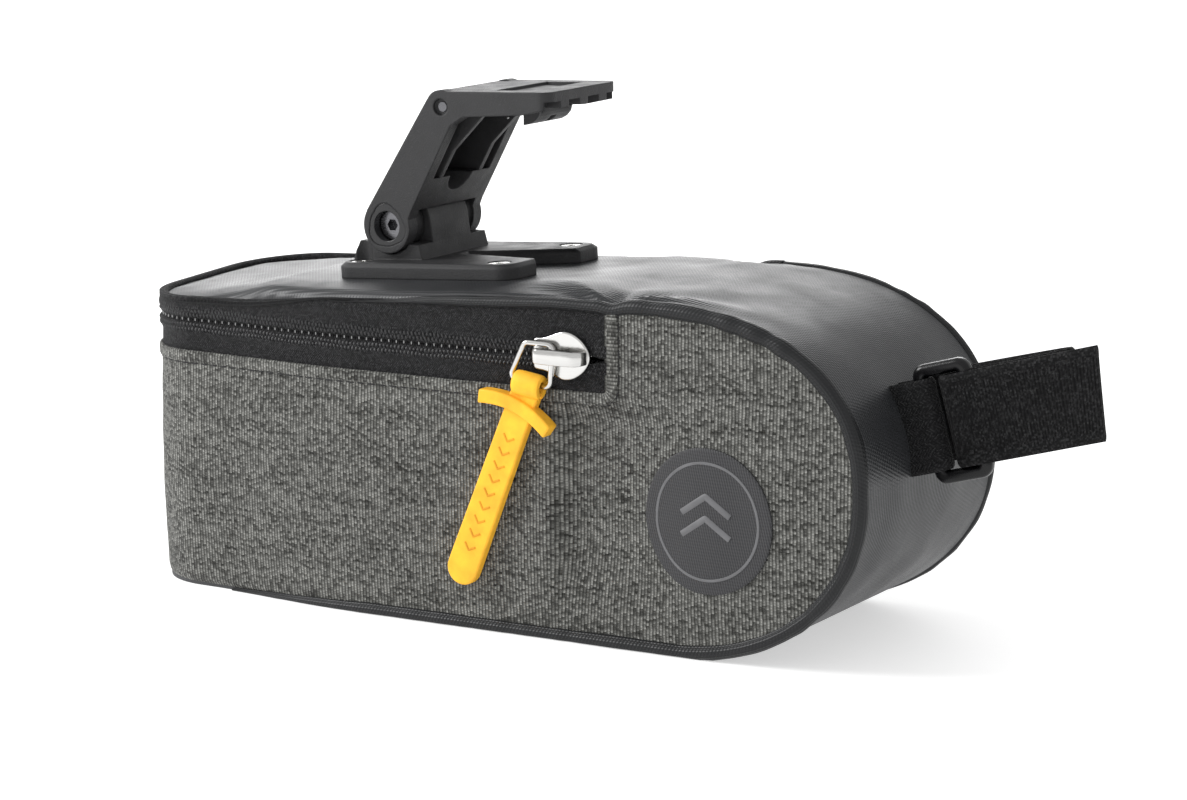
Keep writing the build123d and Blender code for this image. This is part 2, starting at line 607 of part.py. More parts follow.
# ---------------------------------------------------------------- write the nodes
NODES = {
    "side_fabric": side_fabric,
    "gusset_band": gusset_band,
    "piping_right": lambda: piping(-1),
    "piping_left": lambda: piping(1),
    "bottom_board": bottom_board,
    "badge": badge,
    "lower_zip_tape": lambda: zip_tape(False),
    "lower_zip_coil": lambda: zip_coil(False),
    "upper_zip_tape": lambda: zip_tape(True),
    "upper_zip_coil": lambda: zip_coil(True),
    "lid_panel": lid_panel,
    "lid_rim": lid_rim,
    "lid_board": lid_board,
    "backing_plate": backing_plate,
    "base_screws": base_screws,
    "base_nuts": base_nuts,
    "bracket_base": bracket_base,
    "tilt_arm": tilt_arm,
    "insert_right": lambda: keyed_insert(-1),
    "insert_left": lambda: keyed_insert(1),
    "pivot_bolt": pivot_bolt,
    "pivot_nut": pivot_nut,
    "release_pin": release_pin,
    "latch_lever": latch_lever,
    "latch_spring": latch_spring,
    "zip_slider": zip_slider,
    "slider_bridge": slider_bridge,
    "pull_ring": pull_ring,
    "puller": puller,
    "strap_anchor": strap_anchor,
    "strap_ring": strap_ring,
    "strap_loop": strap_loop,
    "strap_tail": strap_tail,
}

os.makedirs("parts", exist_ok=True)
for name, make in NODES.items():
    export_step(make(), f"parts/{name}.step")
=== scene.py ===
"""Looks of the saddle bag: sewn cloth, zipper, webbing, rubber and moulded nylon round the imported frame.

Shapes are worked out in millimetres in the frame's own axes and turned into metres in mesh_object.
+X is the bag's front, +Y the rider's left, +Z up, and the bag stands on z = 0.
"""
from math import cos, pi, radians, sin

import bmesh
import bpy
import numpy as np
from mathutils import Matrix, Quaternion, Vector, noise


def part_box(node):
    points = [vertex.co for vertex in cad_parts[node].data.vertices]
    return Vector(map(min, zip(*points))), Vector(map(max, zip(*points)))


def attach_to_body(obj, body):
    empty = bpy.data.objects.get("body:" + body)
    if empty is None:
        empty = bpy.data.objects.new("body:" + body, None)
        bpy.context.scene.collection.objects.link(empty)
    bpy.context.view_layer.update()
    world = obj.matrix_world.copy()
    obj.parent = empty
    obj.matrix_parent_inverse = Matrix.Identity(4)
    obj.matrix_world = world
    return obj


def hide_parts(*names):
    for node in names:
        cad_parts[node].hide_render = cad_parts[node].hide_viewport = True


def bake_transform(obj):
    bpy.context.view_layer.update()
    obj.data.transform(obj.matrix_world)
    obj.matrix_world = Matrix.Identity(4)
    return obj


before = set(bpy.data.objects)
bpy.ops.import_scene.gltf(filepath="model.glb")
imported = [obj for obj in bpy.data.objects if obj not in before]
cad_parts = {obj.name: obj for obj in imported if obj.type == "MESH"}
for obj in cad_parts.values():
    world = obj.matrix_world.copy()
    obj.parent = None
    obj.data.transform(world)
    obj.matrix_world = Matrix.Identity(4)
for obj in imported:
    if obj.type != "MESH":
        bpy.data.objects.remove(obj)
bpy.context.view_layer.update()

MM = 0.001


def low_high(node):
    """A CAD node's lowest and highest corner in millimetres."""
    low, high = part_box(node)
    return np.array(low) / MM, np.array(high) / MM


# ---------- measures, mm
SIDE_LOW, SIDE_HIGH = low_high("side_fabric")
REAR_X, FRONT_X = SIDE_LOW[0], low_high("gusset_band")[1][0]
HALF = SIDE_HIGH[1]
REAR_HALF = 30.5
TAPER_FROM_X, TAPER_TO_X = -34.0, -84.0
CORNER_R = 19.0
TOP_Z = SIDE_HIGH[2] + 1.4
REAR_TOP_Z = TOP_Z - 6.8
LEVEL_FROM_X = 22.0
CROWN = 1.3
FLAT_HALF = 22.5
NOSE_Z = 40.4
NOSE_TOP_X, NOSE_TOP_POWER = 45.8, 2.37
NOSE_LOW_X, NOSE_LOW_POWER = 52.0, 2.09
CLOTH_T, TAPE_T = 1.1, 1.0

ZIP_Z = (low_high("upper_zip_tape")[0][2] + low_high("lower_zip_tape")[1][2]) / 2
ZIP_END_X = low_high("lower_zip_tape")[1][0]
HEM_Z = low_high("lower_zip_tape")[0][2]
HEM_WIDTH = 3.0
BLEND_FRONT_X, BLEND_REAR_X = 46.0, 32.0
HINGE_X = 38.5
PANEL_INSET, PANEL_ROLL = 0.7, 0.09
ROLL_R = 2.0
FLOOR_GAP = 0.02
DENT_X = 23.0

# ---------- small mathematics


def smooth(value):
    """0 below 0, 1 above 1, an S-curve between."""
    t = np.clip(value, 0.0, 1.0)
    return t * t * (3 - 2 * t)


def ramp(x, start, end):
    return smooth((np.asarray(x, float) - start) / (end - start))


def rough(points, size, seed=0.0):
    """Smooth noise of the given size at each of an array of points, about -1 to 1."""
    flat = np.asarray(points, float).reshape(-1, 3) / size + seed
    values = [noise.noise(Vector(p)) for p in flat]
    return np.array(values).reshape(np.asarray(points).shape[:-1])


def bell(value, width):
    """1 at 0, and 0.37 a width away."""
    return np.exp(-((value / width) ** 2))


def unit(v):
    return v / np.maximum(np.linalg.norm(v, axis=-1, keepdims=True), 1e-9)


def flat(a, b):
    """Points (a, b, 0) from two arrays."""
    return np.stack(np.broadcast_arrays(a, b, 0.0), -1)


def run_length(path):
    """Distance along a polyline at each of its points."""
    return np.concatenate([[0], np.cumsum(np.linalg.norm(np.diff(path, axis=0), axis=1))])


# ---------- the bag's outlines


def top_edge(x):
    """Height of the side outline's upper edge."""
    x = np.asarray(x, float)
    slope = (TOP_Z - REAR_TOP_Z) / (LEVEL_FROM_X - REAR_X)
    level = TOP_Z - np.maximum(0.0, LEVEL_FROM_X - x) * slope
    reach = np.clip((x - NOSE_TOP_X) / (FRONT_X - NOSE_TOP_X), 0, 1)
    curve = NOSE_Z + (TOP_Z - NOSE_Z) * (1 - reach**NOSE_TOP_POWER) ** (1 / NOSE_TOP_POWER)
    return np.where(x < NOSE_TOP_X, level, curve)


def low_edge(x):
    """Height of the side outline's lower edge."""
    reach = np.clip((np.asarray(x, float) - NOSE_LOW_X) / (FRONT_X - NOSE_LOW_X), 0, 1)
    return NOSE_Z - NOSE_Z * (1 - reach**NOSE_LOW_POWER) ** (1 / NOSE_LOW_POWER)


def half_width(x):
    """Half of the bag's width at x, with the round rear corners."""
    x = np.asarray(x, float)
    wide = REAR_HALF + (HALF - REAR_HALF) * ramp(x, TAPER_TO_X, TAPER_FROM_X)
    into = np.clip(REAR_X + CORNER_R - x, 0, CORNER_R)
    return wide - CORNER_R + np.sqrt(CORNER_R**2 - into**2)


CORNER_FROM = REAR_HALF - CORNER_R
CORNER_TO = CORNER_FROM + CORNER_R * pi / 2


def along(x):
    """Distance along the wall from the middle of the rear end to x on a side."""
    return CORNER_TO + x - REAR_X - CORNER_R


def plan(s):
    """Place and outward direction of the wall at s, + on the left and - on the right."""
    a, side = np.abs(s), np.where(np.asarray(s) < 0, -1.0, 1.0)
    turn = np.clip((a - CORNER_FROM) / CORNER_R, 0, pi / 2)
    x = REAR_X + CORNER_R * (1 - np.cos(turn)) + np.maximum(a - CORNER_TO, 0)
    y = np.minimum(a, CORNER_FROM) + CORNER_R * np.sin(turn)
    y = y + (half_width(x) - REAR_HALF) * (a > CORNER_TO)
    return flat(x, y * side), unit(flat(-np.cos(turn), np.sin(turn) * side))


def wall_out(s, z):
    """How far the soft wall stands out of its plain outline."""
    s, z = np.broadcast_arrays(np.asarray(s, float), np.asarray(z, float))
    point, _ = plan(s)
    x = point[..., 0]
    low, high = low_edge(x), np.minimum(top_edge(x), HEM_Z + 3)
    height = np.clip((z - low) / np.maximum(high - low, 1.0), 0, 1)
    fullness = 0.95 + 0.6 * (1 - ramp(x, -60, -28)) * ramp(x, -98, -74)
    fullness = fullness - 0.5 * (1 - ramp(x, -98, -80)) + 0.45 * ramp(x, 44, 60)
    out = fullness * np.sin(pi * height) ** 0.8 * (1 - ramp(x, FRONT_X - 26, FRONT_X - 2))
    at = np.stack([x, point[..., 1] * 0.5, z], -1)
    edge = np.clip(np.minimum(z - low, high - z) / 14, 0, 1)
    out = out + 0.45 * edge * rough(at * (1, 1, 0.6), 17.0, 3.1)
    out = out + 0.16 * edge * rough(at, 6.5, 9.4)
    # the near wall kinks inwards ahead of the puller and recovers slowly
    kink = ramp(x, DENT_X - 3, DENT_X + 4) * (1 - ramp(x, DENT_X + 6, DENT_X + 42))
    depth = ramp(z, 2, 26) * (1 - ramp(z, 50, 60))
    return out - 4.0 * kink * depth * (s < 0)


def wall(s, z, out=0.0):
    """A point on the bag's wall, out of the cloth's own surface by out."""
    s, z = np.broadcast_arrays(np.asarray(s, float), np.asarray(z, float))
    point, away = plan(s)
    place = point + away * (wall_out(s, z) + out)[..., None]
    place[..., 2] = z
    return place


# ---------- mesh helpers


def mesh_object(name, points, faces, material, cloth=None, sharp=40):
    """A mesh from millimetre points. cloth is each point's place on the flat cloth, in mm."""
    mesh = bpy.data.meshes.new(name)
    mesh.from_pydata((np.asarray(points, float) * MM).tolist(), [], faces)
    if cloth is not None:
        attribute = mesh.attributes.new("cloth", "FLOAT_VECTOR", "POINT")
        attribute.data.foreach_set("vector", np.asarray(cloth, np.float32).ravel())
    mesh.polygons.foreach_set("use_smooth", [True] * len(mesh.polygons))
    mesh.set_sharp_from_angle(angle=radians(sharp))
    for one in material if isinstance(material, tuple) else (material,):
        mesh.materials.append(one)
    made = bpy.data.objects.new(name, mesh)
    bpy.context.scene.collection.objects.link(made)
    return made


def join_meshes(parts):
    """(points, faces, cloth) of several pieces as one."""
    points, faces, cloth, start = [], [], [], 0
    for p, f, c in parts:
        points.append(np.asarray(p, float))
        cloth.append(np.asarray(c, float))
        faces += [tuple(i + start for i in face) for face in f]
        start += len(p)
    return np.concatenate(points), faces, np.concatenate(cloth)


def grid_faces(rows, columns, closed=False):
    """The quads of a grid of points. A closed grid also joins its last column to its first."""
    wide = columns if closed else columns - 1
    sides = [(i * columns, j, (j + 1) % columns) for i in range(rows - 1) for j in range(wide)]
    return [(at + j, at + columns + j, at + columns + k, at + k) for at, j, k in sides]


def shell(name, outer, away, cloth, thickness, materials, keep=None):
    """A closed sheet: outer is a grid of points, away its outward directions, keep which cells exist."""
    rows, columns, _ = outer.shape
    inner = outer - away * thickness
    points = np.concatenate([outer.reshape(-1, 3), inner.reshape(-1, 3)])
    both = np.concatenate([cloth.reshape(-1, 3)] * 2)
    count = rows * columns
    faces = grid_faces(rows, columns)
    if keep is not None:
        faces = [quad for quad, kept in zip(faces, keep.ravel()) if kept]
    edges = {}
    for quad in faces:
        for a, b in zip(quad, quad[1:] + quad[:1]):
            if not edges.pop((b, a), None):
                edges[(a, b)] = True
    outside = len(faces)
    faces += [tuple(v + count for v in reversed(quad)) for quad in faces]
    faces += [(b, a, a + count, b + count) for a, b in edges]
    made = mesh_object(name, points, faces, materials, both)
    inside = [0] * outside + [len(made.data.materials) - 1] * (len(faces) - outside)
    made.data.polygons.foreach_set("material_index", inside)
    clean(made)
    return made


def clean(made):
    """Removes unused points and turns every face outwards."""
    work = bmesh.new()
    work.from_mesh(made.data)
    loose = [v for v in work.verts if not v.link_faces]
    bmesh.ops.delete(work, geom=loose, context="VERTS")
    bmesh.ops.recalc_face_normals(work, faces=work.faces)
    work.to_mesh(made.data)
    work.free()


def tube_parts(path, across, up, half_across, half_up, sides=12, power=2.0):
    """A tube with a superellipse section. across and up are each point's section axes."""
    path = np.asarray(path, float)
    across, up = (np.broadcast_to(v, path.shape) for v in (across, up))
    count = len(path)
    half_across = np.broadcast_to(half_across, count)
    half_up = np.broadcast_to(half_up, count)
    angle = np.arange(sides) * 2 * pi / sides
    c, s = np.cos(angle), np.sin(angle)
    c = np.sign(c) * np.abs(c) ** (2 / power)
    s = np.sign(s) * np.abs(s) ** (2 / power)
    rings = (
        path[:, None]
        + across[:, None] * (half_across[:, None] * c)[..., None]
        + up[:, None] * (half_up[:, None] * s)[..., None]
    )
    size = max(half_across.max(), half_up.max())
    cloth = flat(run_length(path)[:, None], angle[None] * size)
    faces = []
    for i in range(count - 1):
        for j in range(sides):
            k = (j + 1) % sides
            faces.append((i * sides + j, i * sides + k, (i + 1) * sides + k, (i + 1) * sides + j))
    faces.append(tuple(reversed(range(sides))))
    faces.append(tuple(range((count - 1) * sides, count * sides)))
    return rings.reshape(-1, 3), faces, cloth.reshape(-1, 3)


def laid_tube(place, away, half, thick, sides=5, power=2.0):
    """A tube along a path that lies on a surface, away being the surface's outward directions."""
    across = unit(np.cross(away, unit(np.gradient(place, axis=0))))
    return tube_parts(place, across, away, half, thick, sides, power)


def strip(path, across, half, thick, sides, power=2.0):
    """A tube along a path, its width along one fixed direction."""
    across = np.tile(np.asarray(across, float), (len(path), 1))
    up = unit(np.cross(unit(np.gradient(path, axis=0)), across))
    return tube_parts(path, across, up, half, thick, sides, power)


def tube(name, material, *parts):
    """One piece made of several tubes."""
    points, faces, cloth = join_meshes(parts)
    made = mesh_object(name, points, faces, material, cloth)
    clean(made)
    return made


def prism(outline, low, high, to_space, bevel, name, material, segments=3):
    """An outline in a plane, raised from low to high, with rounded edges."""
    outline = np.asarray(outline, float)
    count = len(outline)
    points = [to_space(a, b, low) for a, b in outline] + [to_space(a, b, high) for a, b in outline]
    faces = [tuple(range(count)), tuple(range(2 * count - 1, count - 1, -1))]
    faces += [(i, i + count, (i + 1) % count + count, (i + 1) % count) for i in range(count)]
    made = mesh_object(name, points, faces, material, np.asarray(points))
    clean(made)
    rounding = made.modifiers.new("rounding", "BEVEL")
    rounding.width = bevel * MM
    rounding.segments = segments
    rounding.limit_method = "ANGLE"
    rounding.angle_limit = radians(35)
    return made


def resample(points, step):
    """A polyline's points at even distances."""
    points = np.asarray(points, float)
    run = run_length(points)
    at = np.linspace(0, run[-1], max(2, int(round(run[-1] / step)) + 1))
    return np.stack([np.interp(at, run, points[:, k]) for k in range(points.shape[1])], -1)


def attach(made, body, slot, *stands_for):
    """Makes a piece ride on a body in place of the CAD nodes it stands for. slot is not used."""
    if stands_for:
        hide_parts(*stands_for)
    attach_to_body(made, body)


def arc(centre, radius, start, end, count=8):
    """Points of a circular arc in a plane, angles in degrees."""
    angles = np.radians(np.linspace(start, end, count))
    return [(centre[0] + radius * cos(a), centre[1] + radius * sin(a)) for a in angles]


# ---------- material helpers


class Nodes:
    """Short names for making a material's nodes."""

    def __init__(self, name):
        self.material = bpy.data.materials.new(name)
        self.material.use_nodes = True
        self.tree = self.material.node_tree
        self.shader = self.tree.nodes["Principled BSDF"]

    def add(self, kind, **settings):
        node = self.tree.nodes.new("ShaderNode" + kind)
        for key, value in settings.items():
            setattr(node, key, value)
        return node

    def put(self, socket, value):
        """Links value to the socket, or sets it as the socket's own number."""
        if isinstance(value, bpy.types.NodeSocket):
            self.tree.links.new(value, socket)
        else:
            socket.default_value = value

    def math(self, operation, *values, clamp=False):
        node = self.add("Math", operation=operation, use_clamp=clamp)
        for socket, value in zip(node.inputs, values):
            self.put(socket, value)
        return node.outputs[0]

    def times(self, a, b):
        return self.math("MULTIPLY", a, b)

    def times_plus(self, a, b, c):
        return self.math("MULTIPLY_ADD", a, b, c)

    def scaled(self, vector, *scale):
        node = self.add("Mapping")
        self.put(node.inputs["Vector"], vector)
        node.inputs["Scale"].default_value = scale
        return node.outputs[0]

    def noise(self, vector, scale=1.0, detail=2.0, roughness=0.5):
        node = self.add("TexNoise")
        self.put(node.inputs["Vector"], vector)
        node.inputs["Scale"].default_value = scale
        node.inputs["Detail"].default_value = detail
        node.inputs["Roughness"].default_value = roughness
        return node.outputs[0]

    def cell(self, vector):
        """A random number for each unit cell."""
        floor = self.add("VectorMath", operation="FLOOR")
        self.put(floor.inputs[0], vector)
        white = self.add("TexWhiteNoise")
        self.put(white.inputs["Vector"], floor.outputs[0])
        return white.outputs["Value"]

    def span(self, value, low, high, out_low=0.0, out_high=1.0):
        node = self.add("MapRange")
        for socket, number in zip(node.inputs, (value, low, high, out_low, out_high)):
            self.put(socket, number)
        return node.outputs[0]

    def mix(self, factor, a, b):
        node = self.add("Mix", data_type="RGBA")
        self.put(node.inputs["Factor"], factor)
        for socket, value in zip((node.inputs[6], node.inputs[7]), (a, b)):
            self.put(socket, value if isinstance(value, bpy.types.NodeSocket) else (*value, 1.0))
        return node.outputs[2]

    def split(self, vector):
        node = self.add("SeparateXYZ")
        self.put(node.inputs[0], vector)
        return node.outputs

    def ridge(self, value, pitch=1.0):
        """A rounded ridge for every pitch of value, from 0 in the groove to 1 on top."""
        wave = self.math("SINE", self.times(self.math("DIVIDE", value, pitch), 2 * pi))
        return self.times_plus(wave, 0.5, 0.5)

    def cloth(self):
        """The place on the flat cloth, in millimetres."""
        return self.add("Attribute", attribute_name="cloth").outputs["Vector"]

    def place(self):
        """The place in space at rest, in millimetres."""
        return self.scaled(self.add("TexCoord").outputs["Object"], 1000, 1000, 1000)

    def bump(self, height, distance, strength=1.0, radius=0.0):
        """Sets the surface's relief, distance in millimetres, over edges rounded by radius."""
        node = self.add("Bump")
        self.put(node.inputs["Height"], height)
        node.inputs["Distance"].default_value = distance * MM
        node.inputs["Strength"].default_value = strength
        if radius:
            edge = self.add("Bevel", samples=6)
            edge.inputs["Radius"].default_value = radius * MM
            self.put(node.inputs["Normal"], edge.outputs[0])
        self.put(self.shader.inputs["Normal"], node.outputs[0])

    def finish(self, color, roughness, metallic=0.0, specular=0.5, sheen=0.0):
        """Links the colour, sets the shader's own sockets and returns the material."""
        self.put(self.shader.inputs["Base Color"], color)
        self.put(self.shader.inputs["Roughness"], roughness)
        self.shader.inputs["Metallic"].default_value = metallic
        self.shader.inputs["Specular IOR Level"].default_value = specular
        self.shader.inputs["Sheen Weight"].default_value = sheen
        self.shader.inputs["Sheen Roughness"].default_value = 0.4
        return self.material


# ---------- materials


def grey_melange():
    """Ribbed two-tone weave: light and near-black threads with horizontal slubs, darker in the grooves as
    painted shade.
    """
    n = Nodes("grey_melange")
    cloth = n.cloth()
    x, z, _ = n.split(cloth)
    waver = n.noise(n.scaled(cloth, 0.25, 0.6, 1), detail=1.0)
    rib = n.times_plus(waver, 0.35, n.math("DIVIDE", x, 0.86))
    thread = n.math("DIVIDE", z, 0.62)
    stagger = n.times_plus(n.math("FLOOR", rib), 0.5, thread)
    knot = n.add("CombineXYZ")
    n.put(knot.inputs[0], rib)
    n.put(knot.inputs[1], stagger)
    dot = n.cell(knot.outputs[0])
    slub = n.noise(n.scaled(cloth, 0.07, 1.5, 1), detail=3.0, roughness=0.6)
    patch = n.noise(n.scaled(cloth, 0.035, 0.25, 1), detail=3.0)
    round_rib = n.ridge(rib)
    round_thread = n.times_plus(n.ridge(stagger), 0.5, 0.5)
    relief = n.times(n.math("POWER", round_rib, 0.7), round_thread)
    light = n.times_plus(dot, 0.70, n.times_plus(slub, 0.7, -0.35))
    light = n.times_plus(patch, 0.45, n.math("SUBTRACT", light, 0.22))
    # The light threads darken towards the grooves between ribs and threads: painted shade.
    light = n.times(n.span(light, -0.1, 0.85), n.times_plus(relief, 0.85, 0.15))
    color = n.mix(light, (0.012, 0.012, 0.010), (0.40, 0.40, 0.375))
    n.bump(n.times_plus(light, 0.3, relief), 0.22, 0.9)
    return n.finish(color, roughness=0.88, specular=0.25, sheen=0.08)


def coated_fabric(name="coated_fabric", shade=1.0, specular=0.45):
    """Black coated cloth with a fine raised weave under a satin film; shade below 1 darkens its colour as
    painted shade.
    """
    n = Nodes(name)
    cloth = n.cloth()
    x, y, _ = n.split(cloth)
    line = n.ridge(y, 0.78)
    slant = n.ridge(n.times_plus(y, 0.45, x), 0.9)
    relief = n.math("ADD", n.times(line, 0.7), n.times(slant, 0.45))
    cloud = n.noise(n.place(), scale=0.09, detail=4.0)
    grain = n.noise(n.place(), scale=3.5, detail=2.0)
    n.bump(n.times_plus(grain, 0.25, relief), 0.10, 0.9)
    dark, light = (0.015, 0.016, 0.018), (0.027, 0.028, 0.030)
    color = n.mix(cloud, [shade * c for c in dark], [shade * c for c in light])
    rough_value = n.span(n.times_plus(relief, 0.12, cloud), 0.3, 0.8, 0.36, 0.5)
    return n.finish(color, roughness=rough_value, specular=specular)


def lining():
    """The cloths' inner side: plain dark film-backed weave."""
    n = Nodes("lining")
    x, y, _ = n.split(n.cloth())
    relief = n.math("ADD", n.ridge(x, 0.5), n.ridge(y, 0.5))
    n.bump(relief, 0.04, 0.6)
    color = n.mix(n.noise(n.place(), scale=0.15), (0.03, 0.031, 0.033), (0.05, 0.051, 0.053))
    return n.finish(color, roughness=0.6, specular=0.4)


def tape_weave(name, pitch, dark, light, sewn):
    """Black herringbone tape, lighter on raised threads and darker in the grooves as painted light and
    shade. Sewn tape has the coil's stitch holes beside the middle line, both painted dark as shade.
    """
    n = Nodes(name)
    x, y, _ = n.split(n.cloth())
    zigzag = n.math("PINGPONG", y, 1.6)
    rib = n.ridge(n.times_plus(zigzag, 0.9, x), pitch)
    thread = n.ridge(y, 0.4)
    relief = n.times_plus(thread, 0.35, rib)
    speck = n.cell(n.scaled(n.cloth(), 2.9, 3.3, 1))
    # Lighter on the raised threads and darker in the grooves: painted light and shade.
    lit = n.times(n.span(relief, 0.2, 1.3, 0.15, 1.0), n.math("POWER", speck, 1.6))
    if sewn:
        off = n.math("ABSOLUTE", y)
        row = n.math("DIVIDE", n.math("SUBTRACT", off, 0.75), 1.15)
        hole = n.times_plus(n.math("FLOOR", row), 0.5, n.math("DIVIDE", x, 1.05))
        spot = n.times(n.ridge(hole), n.ridge(n.math("ADD", row, 0.75)))
        near = n.span(off, 3.0, 3.3, 1.0, 0.0)
        spot = n.times(near, n.math("POWER", spot, 0.7))
        lit = n.times(lit, n.times_plus(near, 0.7, 1.0))
        # The stitch holes are darkened as painted shade.
        lit = n.times(lit, n.math("MULTIPLY_ADD", spot, -0.95, 1.0, clamp=True))
        # The middle line between the two tapes is painted black as shade.
        lit = n.times(lit, n.span(off, 0.55, 0.75))
        relief = n.times_plus(spot, -2.0, relief)
    n.bump(n.times_plus(speck, 0.6, relief), 0.13, 0.9)
    return n.finish(n.mix(lit, dark, light), roughness=0.82, specular=0.2, sheen=0.05)


def webbing_weave():
    """Hook-and-loop webbing: a speckled pile between ribbed selvedges."""
    n = Nodes("strap_webbing")
    x, y, _ = n.split(n.cloth())
    pile = n.noise(n.cloth(), scale=2.6, detail=3.0, roughness=0.75)
    loops = n.cell(n.scaled(n.cloth(), 2.2, 2.2, 1))
    rib = n.ridge(x, 0.8)
    selvedge = n.span(n.math("ABSOLUTE", y), 7.6, 8.3)
    middle = n.times_plus(loops, 0.5, pile)
    height = n.add("Mix")
    for socket, value in zip(height.inputs, (selvedge, middle, rib)):
        n.put(socket, value)
    n.bump(height.outputs[0], 0.2, 1.0)
    speck = n.math("POWER", n.span(n.times_plus(loops, 0.4, pile), 0.55, 1.0), 2.0)
    color = n.mix(speck, (0.003, 0.003, 0.0033), (0.035, 0.035, 0.036))
    return n.finish(color, roughness=0.75, specular=0.12, sheen=0.03)


def moulded(name, color, rough_low, rough_high, grain=0.05, size=5.0, wear=0.0, radius=0.35, specular=0.5):
    """A moulded plastic or rubber with a fine spark grain, cloudy gloss and rubbed edges."""
    n = Nodes(name)
    spark = n.noise(n.place(), scale=size, detail=3.0, roughness=0.6)
    cloud = n.noise(n.place(), scale=0.22, detail=4.0)
    n.bump(spark, grain, 0.8, radius)
    tone = n.mix(n.span(cloud, 0.3, 0.7), color, tuple(c * 1.35 for c in color))
    if wear:
        scuff = n.noise(n.place(), scale=1.3, detail=5.0, roughness=0.75)
        tone = n.mix(n.span(scuff, 0.60, 0.78, 0.0, wear), tone, tuple(c * 3 + 0.03 for c in color))
    return n.finish(tone, roughness=n.span(cloud, 0.3, 0.7, rough_low, rough_high), specular=specular)


def metal(name, color, roughness, grain=0.4):
    """A plated or plain metal with faint drawing marks."""
    n = Nodes(name)
    marks = n.noise(n.scaled(n.place(), 0.5, 0.5, 4), scale=1.0, detail=4.0)
    n.bump(marks, 0.01, grain, 0.2)
    tone = n.mix(marks, tuple(c * 0.85 for c in color), color)
    gloss = n.span(marks, 0.3, 0.7, roughness * 0.7, roughness * 1.4)
    return n.finish(tone, roughness=gloss, metallic=1.0)


def badge_rubber():
    """Matt black patch with fine slanting ribs, lighter on the ribs and darker in the grooves as painted
    light and shade.
    """
    n = Nodes("badge_rubber")
    x, z, _ = n.split(n.cloth())
    rib = n.ridge(n.times_plus(z, 0.25, x), 0.62)
    cross = n.ridge(z, 0.75)
    relief = n.times_plus(cross, 0.4, rib)
    n.bump(relief, 0.06, 0.9)
    # Painted light and shade: the ribs' tops lighter, the grooves darker.
    color = n.mix(n.span(relief, 0.2, 1.2), (0.022, 0.022, 0.024), (0.052, 0.052, 0.055))
    return n.finish(color, roughness=0.55, specular=0.35)


def floor_paint():
    """Pale studio floor with a barely seen mottle."""
    n = Nodes("studio_floor")
    mottle = n.noise(n.place(), scale=0.02, detail=2.0)
    n.shader.inputs["Emission Color"].default_value = (1.0, 1.0, 1.0, 1.0)
    n.shader.inputs["Emission Strength"].default_value = 0.52
    return n.finish(n.mix(mottle, (0.70, 0.70, 0.70), (0.73, 0.73, 0.73)), roughness=0.7, specular=0.1)


GREY = grey_melange()
COATED = coated_fabric()
# Half-bright copy of the coated cloth for the rolled edges: the darkening is painted shade.
SHADED_PIPING = coated_fabric("coated_piping_shaded", 0.5, 0.3)
LINING = lining()
TAPE = tape_weave("zip_tape", 0.62, (0.004, 0.004, 0.0045), (0.055, 0.055, 0.057), True)
# Anchor webbing: partly its own black, and darkened further as painted shade where it is sewn on.
SHADED_ANCHOR_WEAVE = tape_weave("anchor_weave_shaded", 0.8, (0.003, 0.003, 0.0035), (0.035, 0.035, 0.036), False)
WEBBING = webbing_weave()
NYLON = moulded("bracket_nylon", (0.021, 0.021, 0.022), 0.46, 0.62, 0.16, 2.6, 0.4, 0.6, 0.35)
INSERT = moulded("insert_nylon", (0.007, 0.007, 0.008), 0.22, 0.34, 0.03, 4.0, 0.1, 0.4)
RING_GLOSS = moulded("ring_plastic", (0.003, 0.003, 0.0035), 0.20, 0.30, 0.01, 3.0, 0.0, 0.6, 0.3)
YELLOW = moulded("yellow_rubber", (0.84, 0.43, 0.030), 0.5, 0.6, 0.02, 5.0, 0.0, 0.2, 0.25)
YELLOW_DEEP = moulded("yellow_mark", (0.64, 0.27, 0.010), 0.5, 0.6, 0.02, 5.0, 0.0, 0.1, 0.3)
BEAD = moulded("zip_thread", (0.022, 0.022, 0.023), 0.45, 0.6, 0.02, 5.0, 0.0, 0.1)
COIL = moulded("zip_coil", (0.012, 0.012, 0.013), 0.3, 0.4, 0.01, 3.0, 0.0, 0.1)
# Pale grey marks that paint the highlights on the black coil.
COIL_HIGHLIGHT_PAINT = moulded("coil_painted_highlight", (0.30, 0.30, 0.30), 0.3, 0.4, 0.01, 3.0, 0.0, 0.1)
THREAD = moulded("black_thread", (0.012, 0.012, 0.013), 0.6, 0.8, 0.03, 6.0, 0.0, 0.1)
BOARD = moulded("stiffener_board", (0.05, 0.05, 0.05), 0.5, 0.62, 0.03, 1.5, 0.1, 0.3)
BADGE = badge_rubber()
BADGE_MARK = moulded("badge_mark", (0.10, 0.10, 0.105), 0.42, 0.5, 0.02, 4.0, 0.0, 0.1)
CHROME = metal("slider_chrome", (0.66, 0.655, 0.64), 0.16)
STEEL = metal("screw_steel", (0.62, 0.61, 0.59), 0.28)
BLACK_STEEL = metal("black_steel", (0.16, 0.16, 0.17), 0.24)
SPRING = metal("spring_steel", (0.5, 0.5, 0.5), 0.25)


# ---------- camera, light and floor
AIM = Vector((8.6, 6.9, 48.0)) * MM
DISTANCE = 0.8467
YAW, RISE, ROLL = radians(30.80), radians(10.69), radians(-0.62)
LENS = 107.3


